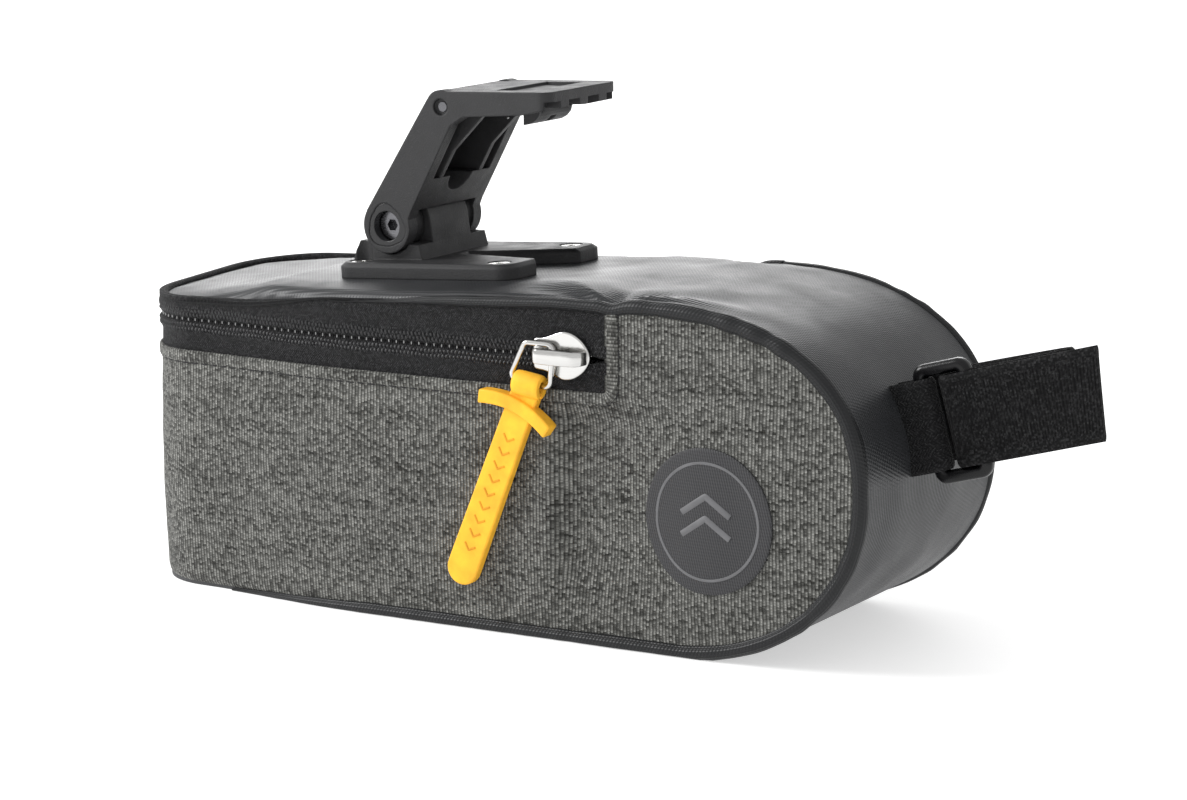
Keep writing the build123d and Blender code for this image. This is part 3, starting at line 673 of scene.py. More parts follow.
def camera():
    data = bpy.data.cameras.new("camera")
    data.lens, data.sensor_width = LENS, 36.0
    made = bpy.data.objects.new("camera", data)
    bpy.context.scene.collection.objects.link(made)
    back = Vector((sin(YAW) * cos(RISE), -cos(YAW) * cos(RISE), sin(RISE)))
    made.location = AIM + back * DISTANCE
    made.rotation_mode = "QUATERNION"
    made.rotation_quaternion = (-back).to_track_quat("-Z", "Y") @ Quaternion((0, 0, 1), ROLL)
    data.clip_start, data.clip_end = 0.01, 20.0
    bpy.context.scene.camera = made


def softbox(name, place, aim, size, power):
    data = bpy.data.lights.new(name, "AREA")
    data.shape, data.size, data.energy = "SQUARE", size, power
    made = bpy.data.objects.new(name, data)
    bpy.context.scene.collection.objects.link(made)
    made.location = place
    made.rotation_mode = "QUATERNION"
    made.rotation_quaternion = (Vector(aim) - Vector(place)).to_track_quat("-Z", "Y")


def studio():
    """White surroundings, a large soft key from the upper left and a low rim from behind."""
    world = bpy.data.worlds.new("studio")
    world.use_nodes = True
    world.node_tree.nodes["Background"].inputs["Color"].default_value = (1.0, 1.0, 1.0, 1.0)
    world.node_tree.nodes["Background"].inputs["Strength"].default_value = 0.78
    bpy.context.scene.world = world
    softbox("key", (-1.05, -0.60, 0.75), (0, 0, 0.04), 0.5, 15.0)
    softbox("rim", (-0.95, 1.60, 0.58), (0, 0, 0.05), 1.2, 13.0)
    bpy.context.scene.view_settings.view_transform = "Standard"


def floor():
    """A pale floor that fills the view."""
    half, cells = 3000.0, 6
    steps = np.linspace(-half, half, cells + 1)
    points = [(x, y, -0.05) for x in steps for y in steps]
    mesh_object("floor", points, grid_faces(cells + 1, cells + 1), floor_paint())


# ---------- cloth walls


def side_columns():
    """Distances along the wall for the grid's columns, finer in the rear corners and the nose."""
    nose = along(NOSE_TOP_X)
    reach = FRONT_X - 1.0 - NOSE_TOP_X
    front = [nose + reach * sin(t) for t in np.linspace(0.06, pi / 2 - 0.05, 34)]
    straight = np.linspace(along(ZIP_END_X + 0.2), nose, 9)
    rear = np.linspace(0, along(ZIP_END_X + 0.2), 132)[:-1]
    half = list(rear) + list(straight) + front
    return np.array([-s for s in reversed(half[1:])] + half)


def side_fabric():
    """The grey cloth: right side, rear end and left side in one piece."""
    s = side_columns()
    x = plan(s)[0][:, 0]
    low, high = low_edge(x) + 0.5, top_edge(x) - 1.0
    low[x < -60] = 0.3
    middle = np.minimum(HEM_Z - 0.6, low + 0.82 * (high - low))
    lower, upper = np.linspace(0, 1, 44), np.linspace(0, 1, 14)[1:]
    low, middle, high = low[:, None], middle[:, None], high[:, None]
    z = np.concatenate([low + (middle - low) * lower, middle + (high - middle) * upper], 1)
    grid_s = np.broadcast_to(s[:, None], z.shape)
    outer = wall(grid_s, z)
    away = np.broadcast_to(plan(s)[1][:, None], outer.shape)
    # the lower edge tucks in towards the bottom panel
    tuck = 1.2 * (1 - ramp(z, 0.0, 3.0)) ** 2
    outer = outer - away * tuck[..., None]
    cloth = flat(grid_s, z)
    keep = np.ones((len(s) - 1, z.shape[1] - 1), bool)
    open_columns = (x[:-1] < ZIP_END_X) & (x[1:] < ZIP_END_X + 0.3)
    keep[np.ix_(open_columns, np.arange(len(lower) - 1, z.shape[1] - 1))] = False
    made = shell("side_cloth", outer, away, cloth, CLOTH_T, (GREY, LINING), keep)
    attach(made, "bag", "grey_melange", "side_fabric")


def hem_path():
    """Places along the wall and heights of the folded hem's middle, from one zip end to the other."""
    inner = HEM_WIDTH / 2
    end, low = along(ZIP_END_X) + inner - 0.4, HEM_Z - inner
    top = top_edge(ZIP_END_X) - 2.2
    right = [(-end, top), (-end, low + 3)]
    right += [(-end + 3 - 3 * cos(a), low + 3 - 3 * sin(a)) for a in np.linspace(0.2, pi / 2, 6)]
    left = [(-s, z) for s, z in reversed(right)]
    return resample(right + left, 1.1)


def hem():
    """The folded and stitched edge of the grey cloth round the zipper."""
    path = hem_path()
    s, z = path.T
    points, faces, cloth = laid_tube(wall(s, z, 0.1), plan(s)[1], HEM_WIDTH / 2, 0.55, 12, 3.0)
    cloth[:, 1] += 20.0
    attach(tube("side_hem", GREY, (points, faces, cloth)), "bag", "grey_melange")
    made = tube("hem_stitches", THREAD, *stitches(path, -HEM_WIDTH / 2 - 0.1))
    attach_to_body(made, "bag")


def stitches(path, offset, length=2.3, pitch=3.0):
    """A row of thread stitches beside a wall path."""
    even = resample(path, pitch / 2)
    parts = []
    for start, end in zip(even[::2], even[1::2]):
        t = end - start
        t = t / max(np.linalg.norm(t), 1e-6)
        side = np.array([-t[1], t[0]]) * offset
        mid = (start + end) / 2 + side
        ends = np.linspace(-length / 2, length / 2, 5)
        line = mid + ends[:, None] * t
        sag = 0.10 - 0.35 * (np.abs(ends) / (length / 2)) ** 3
        parts.append(laid_tube(wall(line[:, 0], line[:, 1], sag), plan(line[:, 0])[1], 0.2, 0.2, 6))
    return parts


# ---------- coated panels


def profile_path():
    """Points (x, z) of the band's middle line: bottom from the rear, round nose, top back to the lid."""
    bottom = [(x, 0.0) for x in np.linspace(REAR_X + 2.0, NOSE_LOW_X, 60)]
    angles = np.linspace(0, pi / 2, 40)
    low = [
        (NOSE_LOW_X + (FRONT_X - NOSE_LOW_X) * sin(a) ** (2 / NOSE_LOW_POWER),
         NOSE_Z - NOSE_Z * cos(a) ** (2 / NOSE_LOW_POWER)) for a in angles[1:]
    ]
    high = [
        (NOSE_TOP_X + (FRONT_X - NOSE_TOP_X) * cos(a) ** (2 / NOSE_TOP_POWER),
         NOSE_Z + (TOP_Z - NOSE_Z) * sin(a) ** (2 / NOSE_TOP_POWER)) for a in angles[1:]
    ]
    return np.array(bottom + low + high)


def across_steps(roll, count=34):
    """Shares of the half-width for a panel's columns, close together in its rolled edges."""
    edge = np.sin(np.linspace(0, pi / 2, 7)) * roll
    inner = np.linspace(-1 + roll, 1 - roll, count)
    return np.concatenate([-1 + (roll - edge[::-1]), inner[1:-1], 1 - (roll - edge)])


def fold_lines(x, y, side):
    """Soft folds that spread over the top from the pinch at the zip's front end."""
    u, v = x - ZIP_END_X - 1.0, HALF - side * y
    distance = np.hypot(u, v)
    angle = np.degrees(np.arctan2(v, u))
    fold = np.zeros_like(distance)
    reach = ramp(distance, 0, 7) * (1 - ramp(distance, 14, 42))
    folds = ((18, 7, 0.9), (38, 10, -0.5), (150, 9, 0.8), (165, 6, -0.5), (95, 16, -0.7))
    for heading, width, depth in folds:
        fold = fold + depth * reach * bell(angle - heading, width)
    pinch = -1.5 * bell(u, 3.0) * (1 - ramp(v, 0.5, 9))
    return fold + pinch


def top_relief(x, y):
    """Crown, folds and slight waviness of the coated top."""
    middle = 1 - ramp(np.abs(y), FLAT_HALF, HALF)
    fade = 1 - ramp(x, HINGE_X + 2, NOSE_TOP_X + 18)
    lift = CROWN * middle * fade
    folds = fold_lines(x, y, -1) + 0.2 * fold_lines(x, y, 1)
    at = flat(x, y)
    wave = 0.35 * rough(at * (0.6, 1, 1), 16.0, 5.3) + 0.12 * rough(at, 6.0, 1.7)
    plate = (1 - ramp(np.abs(y), FLAT_HALF, FLAT_HALF + 4)) * ramp(x, -53, -48) * (1 - ramp(x, 5, 12))
    return lift + (folds + wave) * (1 - plate)


def rim_height(x, y):
    """Top of the upper tape: under the lid's edge in front, a free rim at the rear, lower on the right."""
    rise = -1.5 + 1.3 * ramp(-x, 30, 90) - (0.8 - 0.045 * y) * ramp(-x, 36, 70)
    return top_edge(x) + rise


def rear_sag(x, y):
    """How far the unstiffened rear of the lid hangs, more on the right."""
    return (1.7 - 0.03 * y) * ramp(-x, 54, 90)


def edge_drop(distance, radius):
    """How far a rolled edge of the given radius has dropped at a distance from its rim."""
    inside = np.clip(radius - distance, 0, radius)
    return radius - np.sqrt(np.maximum(radius**2 - inside**2, 0))


def band():
    """Bottom, round front and the start of the top, in one coated strip."""
    path = profile_path()
    path = path[~((path[:, 1] > NOSE_Z) & (path[:, 0] < BLEND_FRONT_X - 0.01))]
    path = np.concatenate([path, [[BLEND_FRONT_X, top_edge(BLEND_FRONT_X)]]])
    path = resample(path, 1.7)
    run = unit(np.gradient(path, axis=0))
    x, z = path[:, :1], path[:, 1:]
    y = across_steps(PANEL_ROLL)[None] * (half_width(x) - PANEL_INSET)
    x, y, z = np.broadcast_arrays(x, y, z)
    # the relief of the top fades down the front, and the bottom stays flat
    upper = ramp(z, 30, 74)
    lift = top_relief(x, y) * ramp(z, 62, 79)
    at = np.stack([x, y, z], -1)
    lift = lift + 0.5 * upper * (1 - ramp(z, 62, 78)) * rough(at, 20.0, 7.7)
    belly = 0.35 * rough(at, 12.0, 2.2) + 0.9 * (1 - (y / HALF) ** 2)
    lift = lift + belly * ramp(z, 6, 26) * (1 - ramp(z, 60, 78))
    lift = lift - edge_drop(half_width(x) - PANEL_INSET - np.abs(y), 1.7) * ramp(z, 0.5, 6)
    away = np.stack(np.broadcast_arrays(run[:, 1:], 0.0 * y, -run[:, :1]), -1)
    outer = at + away * lift[..., None]
    outer[..., 2] = np.maximum(outer[..., 2], FLOOR_GAP)
    cloth = flat(run_length(path)[:, None], y)
    made = shell("front_band", outer, away, cloth, CLOTH_T, (COATED, LINING))
    attach(made, "bag", "coated_fabric", "gusset_band")


def lid_columns():
    """x of the lid's rows, finer in the rear corners."""
    corner = REAR_X + 1.0 + CORNER_R * (1 - np.cos(np.linspace(0.05, pi / 2, 16)))
    front = np.linspace(corner[-1], BLEND_FRONT_X, 96)[1:]
    return np.concatenate([corner, front])


def lid_panel():
    """The coated top, from the round front over the hinge to the rear end."""
    x = lid_columns()[:, None]
    half = half_width(np.maximum(x - 1.0, REAR_X)) - PANEL_INSET - 0.5 * (1 - ramp(x, -66, -50))
    y = across_steps(PANEL_ROLL)[None] * half
    x, y = np.broadcast_arrays(x, y)
    edge_r = 0.5 + 2.4 * ramp(x, -88, -70) * (1 - 0.5 * ramp(x, ZIP_END_X, BLEND_FRONT_X))
    from_rim = np.minimum(half - np.abs(y), x - REAR_X)
    sunk = 0.6 * (1 - ramp(x, -70, -58)) + rear_sag(x, y)
    sunk = sunk + 0.9 * (1 - ramp(from_rim, 0, 9)) * (1 - ramp(x, -74, -56))
    z = top_edge(x) + top_relief(x, y) - edge_drop(half - np.abs(y), edge_r) - sunk
    outer = np.stack([x, y, z], -1)
    away = unit(np.cross(np.gradient(outer, axis=0), np.gradient(outer, axis=1)))
    made = shell("lid_cloth", outer, away, flat(-along(x), y), CLOTH_T, (COATED, LINING))
    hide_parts("lid_panel")
    hinge_blend(made)


def hinge_blend(made):
    """Bakes a piece's placement into its points."""
    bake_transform(made)


def roll(name, path, side, radius, wrinkle):
    """A rolled, sewn edge of coated cloth along (x, z) points, with bunches where it curves."""
    x, z = path[:, 0], path[:, 1]
    run = unit(np.gradient(path, axis=0))
    inwards = np.stack([-run[:, 1], run[:, 0]], -1)
    centre = path + inwards * (radius * 0.55)[:, None]
    y = side * (half_width(x) - radius * 0.35)
    place = np.stack([centre[:, 0], y, centre[:, 1]], -1)
    at = np.stack([x, np.full_like(x, side * 40.0), z], -1)
    fine = rough(at, 4.2, 11.0 + side)
    wide = rough(at, 11.0, 4.0 + side)
    size = radius * (1 + 0.07 * wide + wrinkle * fine)
    place[:, 1] += side * wrinkle * 1.2 * rough(at, 3.1, 21.0)
    points, faces, cloth = strip(place, (0, 1, 0), size, size * 0.95, 14)
    points[:, 2] = np.maximum(points[:, 2], FLOOR_GAP)
    return tube(name, SHADED_PIPING, (points, faces, cloth))


def front_rolls():
    """The piped edges from under the bag, round the nose, to the lid's hinge."""
    whole = profile_path()
    start = np.array([[x, 0.0] for x in np.linspace(-72.0, NOSE_LOW_X, 4)])
    bend = whole[(whole[:, 0] > NOSE_LOW_X)]
    bend = bend[~((bend[:, 1] > NOSE_Z) & (bend[:, 0] < BLEND_FRONT_X))]
    path = resample(np.concatenate([start[:-1], bend, [[BLEND_FRONT_X, top_edge(BLEND_FRONT_X)]]]), 0.9)
    radius = ROLL_R * (0.25 + 0.75 * ramp(path[:, 0], -72, -20) ** 0.7)
    radius = np.where(path[:, 1] > NOSE_Z, ROLL_R, radius)
    top_bunch = bell(np.hypot(path[:, 0] - 75, path[:, 1] - 73), 8)
    low_bunch = bell(np.hypot(path[:, 0] - 92, path[:, 1] - 14), 12)
    wrinkle = 0.07 + 0.26 * top_bunch + 0.16 * low_bunch
    for side, name in ((-1, "right"), (1, "left")):
        made = roll(f"edge_roll_{name}", path, side, radius * (0.85 - 0.15 * side), wrinkle)
        attach(made, "bag", "coated_fabric", f"piping_{name}")


def lid_rolls():
    """The lid's sewn front edges, which fade into the rim towards the rear."""
    x = np.arange(BLEND_FRONT_X, -40.0, -0.9)
    pinch = bell(x - ZIP_END_X - 1, 2.6)
    path = np.stack([x, top_edge(x) - 0.9 * ramp(-x, -46, -30) - 0.9 * pinch - 1.2 * ramp(-x, 4, 34)], -1)
    radius = ROLL_R * (0.08 + 0.62 * ramp(x, -34, 4) + 0.30 * ramp(x, 26, BLEND_FRONT_X))
    for side, name in ((-1, "right"), (1, "left")):
        made = roll(f"lid_roll_{name}", path, side, radius * (1 - 0.15 * pinch), 0.05 + 0.1 * pinch)
        hinge_blend(made)


# ---------- zipper


def zip_columns(end):
    half = np.arange(0, along(end), 1.3)
    half = np.append(half, along(end))
    return np.concatenate([-half[:0:-1], half])


def zip_part(s):
    """Half the gap between the two tapes, which the slider opens ahead of its nose."""
    x = plan(s)[0][:, 0]
    opened = ramp(x, ZIP_END_X - 9.0, ZIP_END_X - 6.4) * (1 - ramp(x, ZIP_END_X - 5.6, ZIP_END_X - 0.6))
    return 0.03 + 1.15 * opened


def tape_rise(distance):
    """The tape's height over the wall, where it covers the coil beside the middle line."""
    over_coil = 0.45 * (1 - ramp(distance, 2.5, 3.9)) * ramp(distance, 0.1, 0.8)
    return over_coil - 0.25 * (1 - ramp(distance, 0.1, 0.5))


def tape(name, upper):
    """One zipper tape, from the middle line to its sewn edge."""
    s = zip_columns(ZIP_END_X - 0.1)
    x = plan(s)[0][:, 0]
    gap = zip_part(s)
    if upper:
        low, high = ZIP_Z + gap, rim_height(x, plan(s)[0][:, 1])
    else:
        low, high = np.full_like(s, HEM_Z - 1.2), ZIP_Z - gap
    t = np.linspace(0, 1, 17)
    z = low[:, None] + (high - low)[:, None] * t
    grid_s = np.broadcast_to(s[:, None], z.shape)
    out = tape_rise(np.abs(z - ZIP_Z)) - 0.2
    if upper:
        out = out + (0.6 * (1 - ramp(x, -94, -50)))[:, None] * ramp(t, 0.1, 0.8)
    outer = wall(grid_s, z, out)
    away = np.broadcast_to(plan(s)[1][:, None], outer.shape)
    return shell(name, outer, away, flat(grid_s, z - ZIP_Z), TAPE_T, (TAPE, TAPE))


def rim_binding():
    """The padded upper edge of the tape round the rear of the lid."""
    s = zip_columns(-34.0)
    point = plan(s)[0]
    x = point[:, 0]
    size = 1.25 * (0.15 + 0.85 * (1 - ramp(x, -70, -40))) * (1 + 0.05 * rough(point, 5.0, 2.0))
    height = rim_height(x, point[:, 1]) - size * 0.9
    place = wall(s, height, 0.4 - size)
    run = unit(np.gradient(place, axis=0))
    away = plan(s)[1]
    up = unit(np.cross(run, away))
    return tube("rim_binding", TAPE, tube_parts(place, away, up, size, size, 14))


def beads(upper):
    """The rows of thread loops that hold the coil to its tape."""
    parts = []
    side = 1 if upper else -1
    end = along(ZIP_END_X - 6)
    for row, distance in enumerate((1.25, 2.35)):
        for k, s in enumerate(np.arange(-end, end, 1.05)):
            across = distance + 0.12 * sin(12.9 * k + row)
            z = ZIP_Z + side * across
            rise = float(tape_rise(np.array(across))) - 0.2
            length = 0.34 + 0.08 * sin(7.1 * k + 3 * row)
            ends = np.linspace(-length, length, 4)
            place = wall(s + (0.5 if row else 0) + ends * 0.5, z + side * ends, rise)
            size = np.array([0.12, 0.32, 0.32, 0.12])
            parts.append(laid_tube(place, plan(s + ends * 0)[1], size, size))
    return parts


def painted_coil_highlights(upper):
    """Painted highlights of the coil: pale grey marks across the middle line, every other one on each row.
    """
    parts = []
    side = 1 if upper else -1
    end = along(ZIP_END_X - 7)
    for s in np.arange(-end + (2.1 if upper else 0.0), end, 4.2):
        ends = np.linspace(-0.55, 0.55, 4)
        place = wall(s + ends * 0, ZIP_Z + ends + side * 0.12, -0.22)
        size = np.array([0.08, 0.17, 0.17, 0.08])
        parts.append(laid_tube(place, plan(s + ends * 0)[1], size, size))
    return parts


def coil(upper):
    """One row's monofilament coil on the inner face of its tape."""
    side = 1 if upper else -1
    end = along(ZIP_END_X - 3)
    turns = int(2 * end / 1.3)
    t = np.linspace(0, 1, turns * 9)
    angle = 2 * pi * turns * t
    s = -end + 2 * end * t
    z = ZIP_Z + side * (1.55 + 1.15 * np.cos(angle))
    point, away = plan(s)
    place = point - away * (1.75 + 0.55 * np.sin(angle))[:, None]
    place[:, 2] = z
    run = unit(np.gradient(place, axis=0))
    sideways = unit(np.cross(away, run))
    up = unit(np.cross(run, sideways))
    return tube_parts(place, sideways, up, 0.24, 0.24, 5)


def zipper():
    for upper, word, node in ((False, "lower", "lower_zip"), (True, "upper", "upper_zip")):
        pieces = [tape(f"{word}_tape", upper)]
        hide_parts(f"{node}_tape")
        if upper:
            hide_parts("lid_rim")
            pieces.append(rim_binding())
        pieces.append(tube(f"{word}_beads", BEAD, *beads(upper)))
        pieces.append(tube(f"{word}_ticks", COIL_HIGHLIGHT_PAINT, *painted_coil_highlights(upper)))
        rows = tube(f"{word}_coil", COIL, coil(upper))
        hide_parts(f"{node}_coil")
        pieces.append(rows)
        for piece in pieces:
            if upper:
                hinge_blend(piece)
            else:
                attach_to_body(piece, "bag")


# ---------- badge


def badge():
    """Round rubber patch that follows the wall, with a plain ring and two chevrons in relief."""
    low, high = low_high("badge")
    centre_x, centre_z = (low[0] + high[0]) / 2, (low[2] + high[2]) / 2
    radius = (high[0] - low[0]) / 2
    thick = high[1] - low[1]
    rings = radius * np.concatenate([[0.0], np.linspace(0.12, 0.96, 16), [0.985, 1.0, 1.0]])
    rise = thick * np.concatenate([np.ones(17), [0.93, 0.7, -0.8]])
    angle = np.linspace(0, 2 * pi, 97)
    r, a = np.meshgrid(rings, angle, indexing="ij")
    x, z = centre_x + r * np.cos(a), centre_z + r * np.sin(a)
    outer = wall(-along(x), z, np.broadcast_to(rise[:, None], r.shape))
    points = outer[:, :-1].reshape(-1, 3)
    wide = len(angle) - 1
    faces = [(i * wide + j, i * wide + (j + 1) % wide, (i + 1) * wide + (j + 1) % wide, (i + 1) * wide + j)
             for i in range(1, len(rings) - 1) for j in range(wide)]
    faces += [(0, wide + (j + 1) % wide, wide + j) for j in range(wide)]
    faces.append(tuple((len(rings) - 1) * wide + j for j in range(wide)))
    made = mesh_object("side_badge", points, faces, BADGE, flat(x, z)[:, :-1].reshape(-1, 3))
    clean(made)
    attach(made, "bag", "badge_rubber", "badge")

    def ridge(line, size):
        line = resample(line, 0.5)
        s = -along(centre_x + line[:, 0])
        return laid_tube(wall(s, centre_z + line[:, 1], thick), plan(s)[1], size, 0.16, 8, 3.0)

    ring = [(radius * 0.80 * cos(a), radius * 0.80 * sin(a)) for a in np.linspace(0, 2 * pi, 73)]
    marks = [ridge(ring, 0.35)]
    for drop in (-3.4, 1.6):
        marks.append(ridge([(-6.2, drop), (0, drop + 4.2), (6.2, drop)], 0.75))
    attach(tube("badge_mark", BADGE_MARK, *marks), "bag", "badge_rubber")


# ---------- slider and puller


def on_side(a, b, depth):
    """Turns an outline point (x, z) and a depth into space, depth along Y."""
    return (a, depth, b)


def slider():
    """Two teardrop plates, the divider between them and the arched bridge."""
    low, high = low_high("zip_slider")
    rear, nose = low[0], high[0]
    plate_low = low[1]
    mid_z = ZIP_Z + 0.5
    upper = [(rear, 3.6), (rear + 3.2, 3.9), (rear + 5.6, 4.9), (rear + 8.0, 5.7), (rear + 10.4, 5.2),
             (rear + 12.6, 3.9), (rear + 14.0, 2.3), (nose, 0.8)]
    outline = [(x, mid_z + z) for x, z in upper] + [(x, mid_z - z) for x, z in reversed(upper)]
    curve = resample(outline + outline[:1], 0.8)[:-1]
    curve = (np.roll(curve, 1, 0) + 2 * curve + np.roll(curve, -1, 0)) / 4
    plate_t, inner_low = 1.1, -HALF + 2.7
    outer = prism(curve, plate_low, plate_low + plate_t, on_side, 0.35, "slider_plate", CHROME)
    attach(outer, "slider", "slider_chrome", "zip_slider")
    inner = prism(curve - (1.6, 0), inner_low, inner_low + plate_t, on_side, 0.3, "slider_back", CHROME, 2)
    attach(inner, "slider", "slider_chrome")
    rear_x, front_x, post_low, post_high = nose - 6.2, nose - 2.4, ZIP_Z - 0.4, ZIP_Z + 0.4
    divider = [(rear_x, post_low), (front_x, post_low), (front_x, post_high), (rear_x, post_high)]
    post = prism(divider, plate_low + 0.9, inner_low + 0.2, on_side, 0.1, "slider_post", CHROME, 1)
    attach(post, "slider", "slider_chrome")
    b_low, b_high = low_high("slider_bridge")
    crown, base = b_low[1] + 0.5, b_high[1]
    line = [(b_low[0] + 0.5, base + 0.3), (b_low[0] + 0.5, crown + 1.4)]
    line += arc((b_low[0] + 1.9, crown + 1.4), 1.4, 180, 270, 6)
    line += arc((b_high[0] - 2.9, crown + 2.4), 2.4, 270, 360, 8)
    line += [(b_high[0] - 0.5, base + 0.3)]
    path = flat(*resample(line, 0.4).T)
    path[:, 2] = (b_low[2] + b_high[2]) / 2
    width = 1.55 + 0.25 * np.sin(np.linspace(0, pi, len(path)))
    bridge = tube("bridge", CHROME, strip(path, (0, 0, 1), width, 0.55, 12, 3.5))
    attach(bridge, "slider", "slider_chrome", "slider_bridge")


def puller():
    """Rubber puller: a loop over the ring, a curved keeper and a long tongue with embossed marks."""
    ring_low, ring_high = low_high("pull_ring")
    top = np.array([17.75, (ring_low[1] + ring_high[1]) / 2, 60.0])
    tongue_lean = Matrix.Rotation(radians(22.5), 3, "Y")
    loop_lean = Matrix.Rotation(radians(8.5), 3, "Y")

    def hung(a, b, depth):
        return tuple(top + np.array(tongue_lean @ Vector((a, depth + 0.3, b))))

    def looped(a, b):
        return tuple(top + np.array(loop_lean @ Vector((0.0, a, b))))

    half, length, thick = 3.6, 52.0, 1.2
    tongue = [(-half, -2.2), (half, -2.2), (half + 0.3, -30), (half + 0.5, -length + 6)]
    tongue += [(x, z) for x, z in arc((0, -length + 3.4), half + 0.55, -10, -170, 14)]
    tongue += [(-half - 0.5, -length + 6), (-half - 0.3, -30)]
    body = prism(tongue, -thick, thick, hung, 0.45, "tongue", YELLOW)
    upper = [(x, -4.2 - 0.0209 * x**2) for x in np.linspace(-10.7, 9.6, 15)]
    lower = [(x * 0.92, z - 3.2) for x, z in reversed(upper)]
    keeper = prism(upper + lower, -2.6, 1.0, hung, 0.45, "keeper", YELLOW)
    turns = np.linspace(radians(-78), radians(258), 30)
    path = np.array([looped(-0.2 + 1.75 * cos(a), -0.35 + 2.1 * sin(a)) for a in turns])
    across = loop_lean @ Vector((1.0, 0.0, 0.0))
    loop = tube("puller_loop", YELLOW, strip(path, across, half, 0.85, 16, 5.0))
    marks = []
    for k in range(9):
        z = -14.5 - 3.6 * k
        line = resample([(-1.5, z + 0.9), (0, z - 0.5), (1.5, z + 0.9)], 0.35)
        spots = np.array([hung(a, b, -thick - 0.02) for a, b in line])
        marks.append(laid_tube(spots, np.array([0.0, 1.0, 0.0]), 0.26, 0.12, 8, 2.5))
    mark = tube("puller_marks", YELLOW_DEEP, *marks)
    attach(body, "pull", "yellow_rubber", "puller")
    for piece in (keeper, loop, mark):
        attach(piece, "pull", "yellow_rubber")


# ---------- strap
STRAP_RISE = radians(15.0)
STRAP_ORIGIN = np.array([99.6, 0.0, 52.0])
STRAP_X = np.array([cos(STRAP_RISE), 0.0, sin(STRAP_RISE)])
STRAP_ACROSS = np.array([-sin(STRAP_RISE), 0.0, cos(STRAP_RISE)])
STRAP_HALF, STRAP_T = 10.4, 1.2
RING_Y, TURN_X, LAYER = -9.0, 13.3, 2.4
STRAP_END = 48.4


def strap_space(path):
    """Points on the strap's plane, (away from the bag, along Y), in space."""
    path = np.asarray(path, float)
    place = STRAP_ORIGIN + path[:, :1] * STRAP_X
    place[:, 1] += path[:, 1]
    return place


def webbing(name, path, material, thick=STRAP_T, half=STRAP_HALF, sway=0.0, slant=0.0):
    """Flat webbing with thicker woven edges along a path on the strap's plane."""
    path = resample(path, 0.8)
    place = strap_space(path)
    run = unit(np.gradient(place, axis=0))
    up = unit(np.cross(np.tile(STRAP_ACROSS, (len(place), 1)), run))
    width = np.concatenate([np.linspace(-1, -0.8, 5), np.linspace(-0.76, 0.76, 18), np.linspace(0.8, 1, 5)])
    selvedge = 0.10 * bell(np.abs(width) - 0.86, 0.07)
    edge = 0.5 + selvedge - 0.35 * ramp(np.abs(width), 0.93, 1.0)
    length = run_length(place)
    lean = slant * ramp(length, length[-1] - 20, length[-1])
    wave = sway * np.sin(length / length[-1] * 5.0)[:, None] * np.sin(width * 2.2 + 0.6)[None]
    sheets = []
    for face in (1, -1):
        layer = place[:, None] + up[:, None] * (face * thick * edge[None] + wave)[..., None]
        layer = layer + STRAP_ACROSS * (width * half)[None, :, None]
        layer = layer + run[:, None] * (lean[:, None] * width)[..., None]
        sheets.append(layer)
    outline = np.concatenate([sheets[0], sheets[1][:, ::-1]], 1)
    count, around = outline.shape[:2]
    around_y = np.concatenate([width * half, width[::-1] * half])
    cloth = flat(length[:, None], around_y[None])
    faces = grid_faces(count, around, closed=True)
    faces += [tuple(range(around)), tuple(range((count - 1) * around, count * around))]
    made = mesh_object(name, outline.reshape(-1, 3), faces, material, cloth.reshape(-1, 3))
    clean(made)
    return made


def smooth_curve(points, per_span=6):
    """A Catmull-Rom curve through a few points."""
    p = np.asarray(points, float)
    p = np.concatenate([[2 * p[0] - p[1]], p, [2 * p[-1] - p[-2]]])
    curve = []
    for a, b, c, d in zip(p, p[1:], p[2:], p[3:]):
        for t in np.linspace(0, 1, per_span, endpoint=False):
            bend = (2 * a - 5 * b + 4 * c - d) * t**2 + (3 * b - a - 3 * c + d) * t**3
            curve.append(0.5 * (2 * b + (c - a) * t + bend))
    return np.array(curve + [p[-2]])


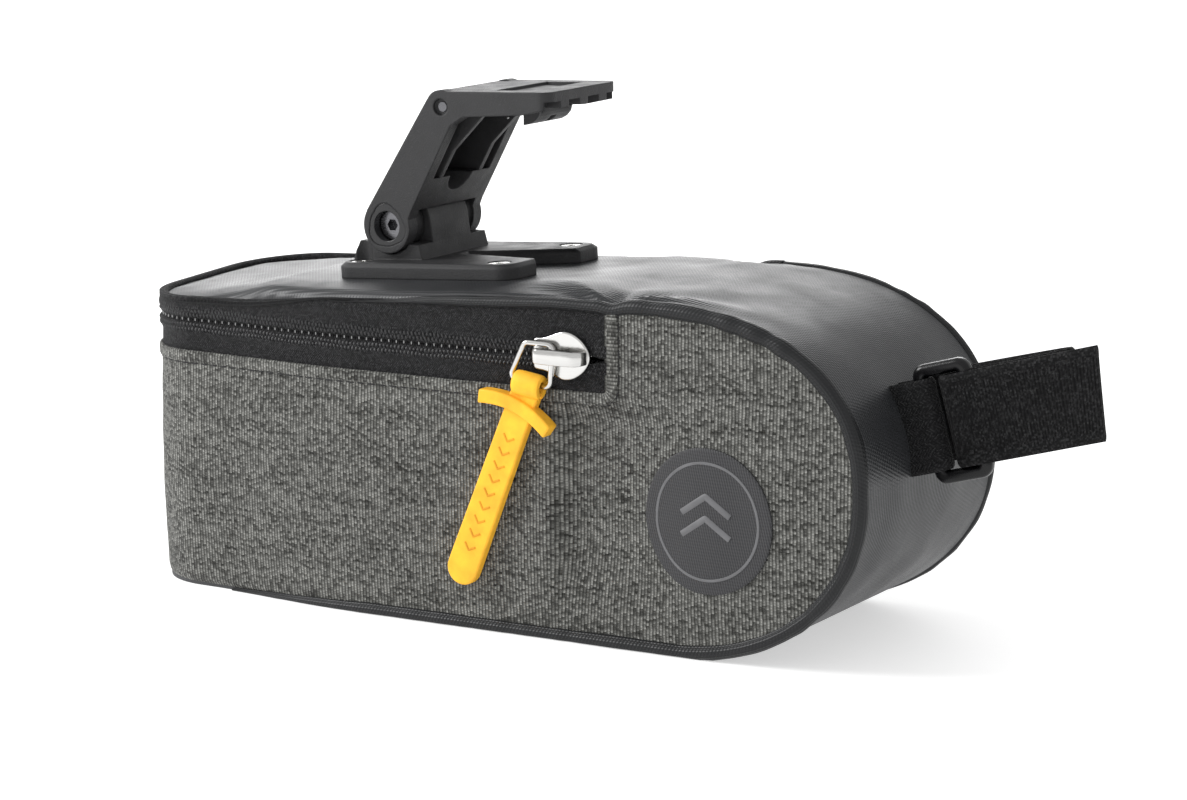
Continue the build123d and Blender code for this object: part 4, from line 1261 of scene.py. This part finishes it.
def strap():
    """Anchor, loop and tail of the seat-post strap."""
    bar_x = 5.8
    anchor = [(-1.5, RING_Y + LAYER), (bar_x, RING_Y + LAYER)]
    anchor += arc((bar_x, RING_Y), LAYER, 90, -90, 12)
    anchor += [(-1.5, RING_Y - LAYER)]
    piece = webbing("anchor_webbing", anchor, SHADED_ANCHOR_WEAVE, 1.3)
    attach(piece, "bag", "strap_webbing", "strap_anchor")
    back_y = RING_Y + LAYER
    far_layer = [(-1.0, 8.5), (12.0, 6.4), (24.0, 4.0), (33.0, 1.6)]
    loop = smooth_curve(far_layer + [(39.0, -0.9), (39.8, -4.6), (35.0, back_y)])
    turn = arc((TURN_X, RING_Y), LAYER, 90, 180, 8)
    loop = np.concatenate([loop, [(24.0, back_y), (TURN_X, back_y)], turn])
    piece = webbing("loop_webbing", loop, WEBBING)
    attach(piece, "bag", "strap_webbing", "strap_loop")
    front_y = RING_Y - LAYER
    tail = arc((TURN_X, RING_Y), LAYER, 180, 270, 8) + [(30.0, front_y), (STRAP_END, front_y)]
    piece = webbing("tail_webbing", tail, WEBBING, sway=0.12, slant=1.6)
    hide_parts("strap_tail")
    hinge, after = strap_space([(TURN_X - 0.3, front_y), (TURN_X + 5.0, front_y)]) * MM
    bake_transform(piece)


# ---------- CAD pieces that keep their shape
PAINT = {
    "bottom_board": BOARD,
    "lid_board": BOARD,
    "backing_plate": NYLON,
    "base_screws": STEEL,
    "base_nuts": STEEL,
    "bracket_base": NYLON,
    "tilt_arm": NYLON,
    "insert_right": INSERT,
    "insert_left": INSERT,
    "pivot_bolt": BLACK_STEEL,
    "pivot_nut": STEEL,
    "release_pin": BLACK_STEEL,
    "latch_lever": NYLON,
    "latch_spring": SPRING,
    "pull_ring": CHROME,
    "strap_ring": RING_GLOSS,
}


def paint_cad():
    for node, material in PAINT.items():
        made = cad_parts[node]
        made.data.materials.clear()
        made.data.materials.append(material)


# ---------- everything
camera()
studio()
floor()
side_fabric()
hem()
band()
lid_panel()
front_rolls()
lid_rolls()
zipper()
badge()
slider()
puller()
strap()
paint_cad()
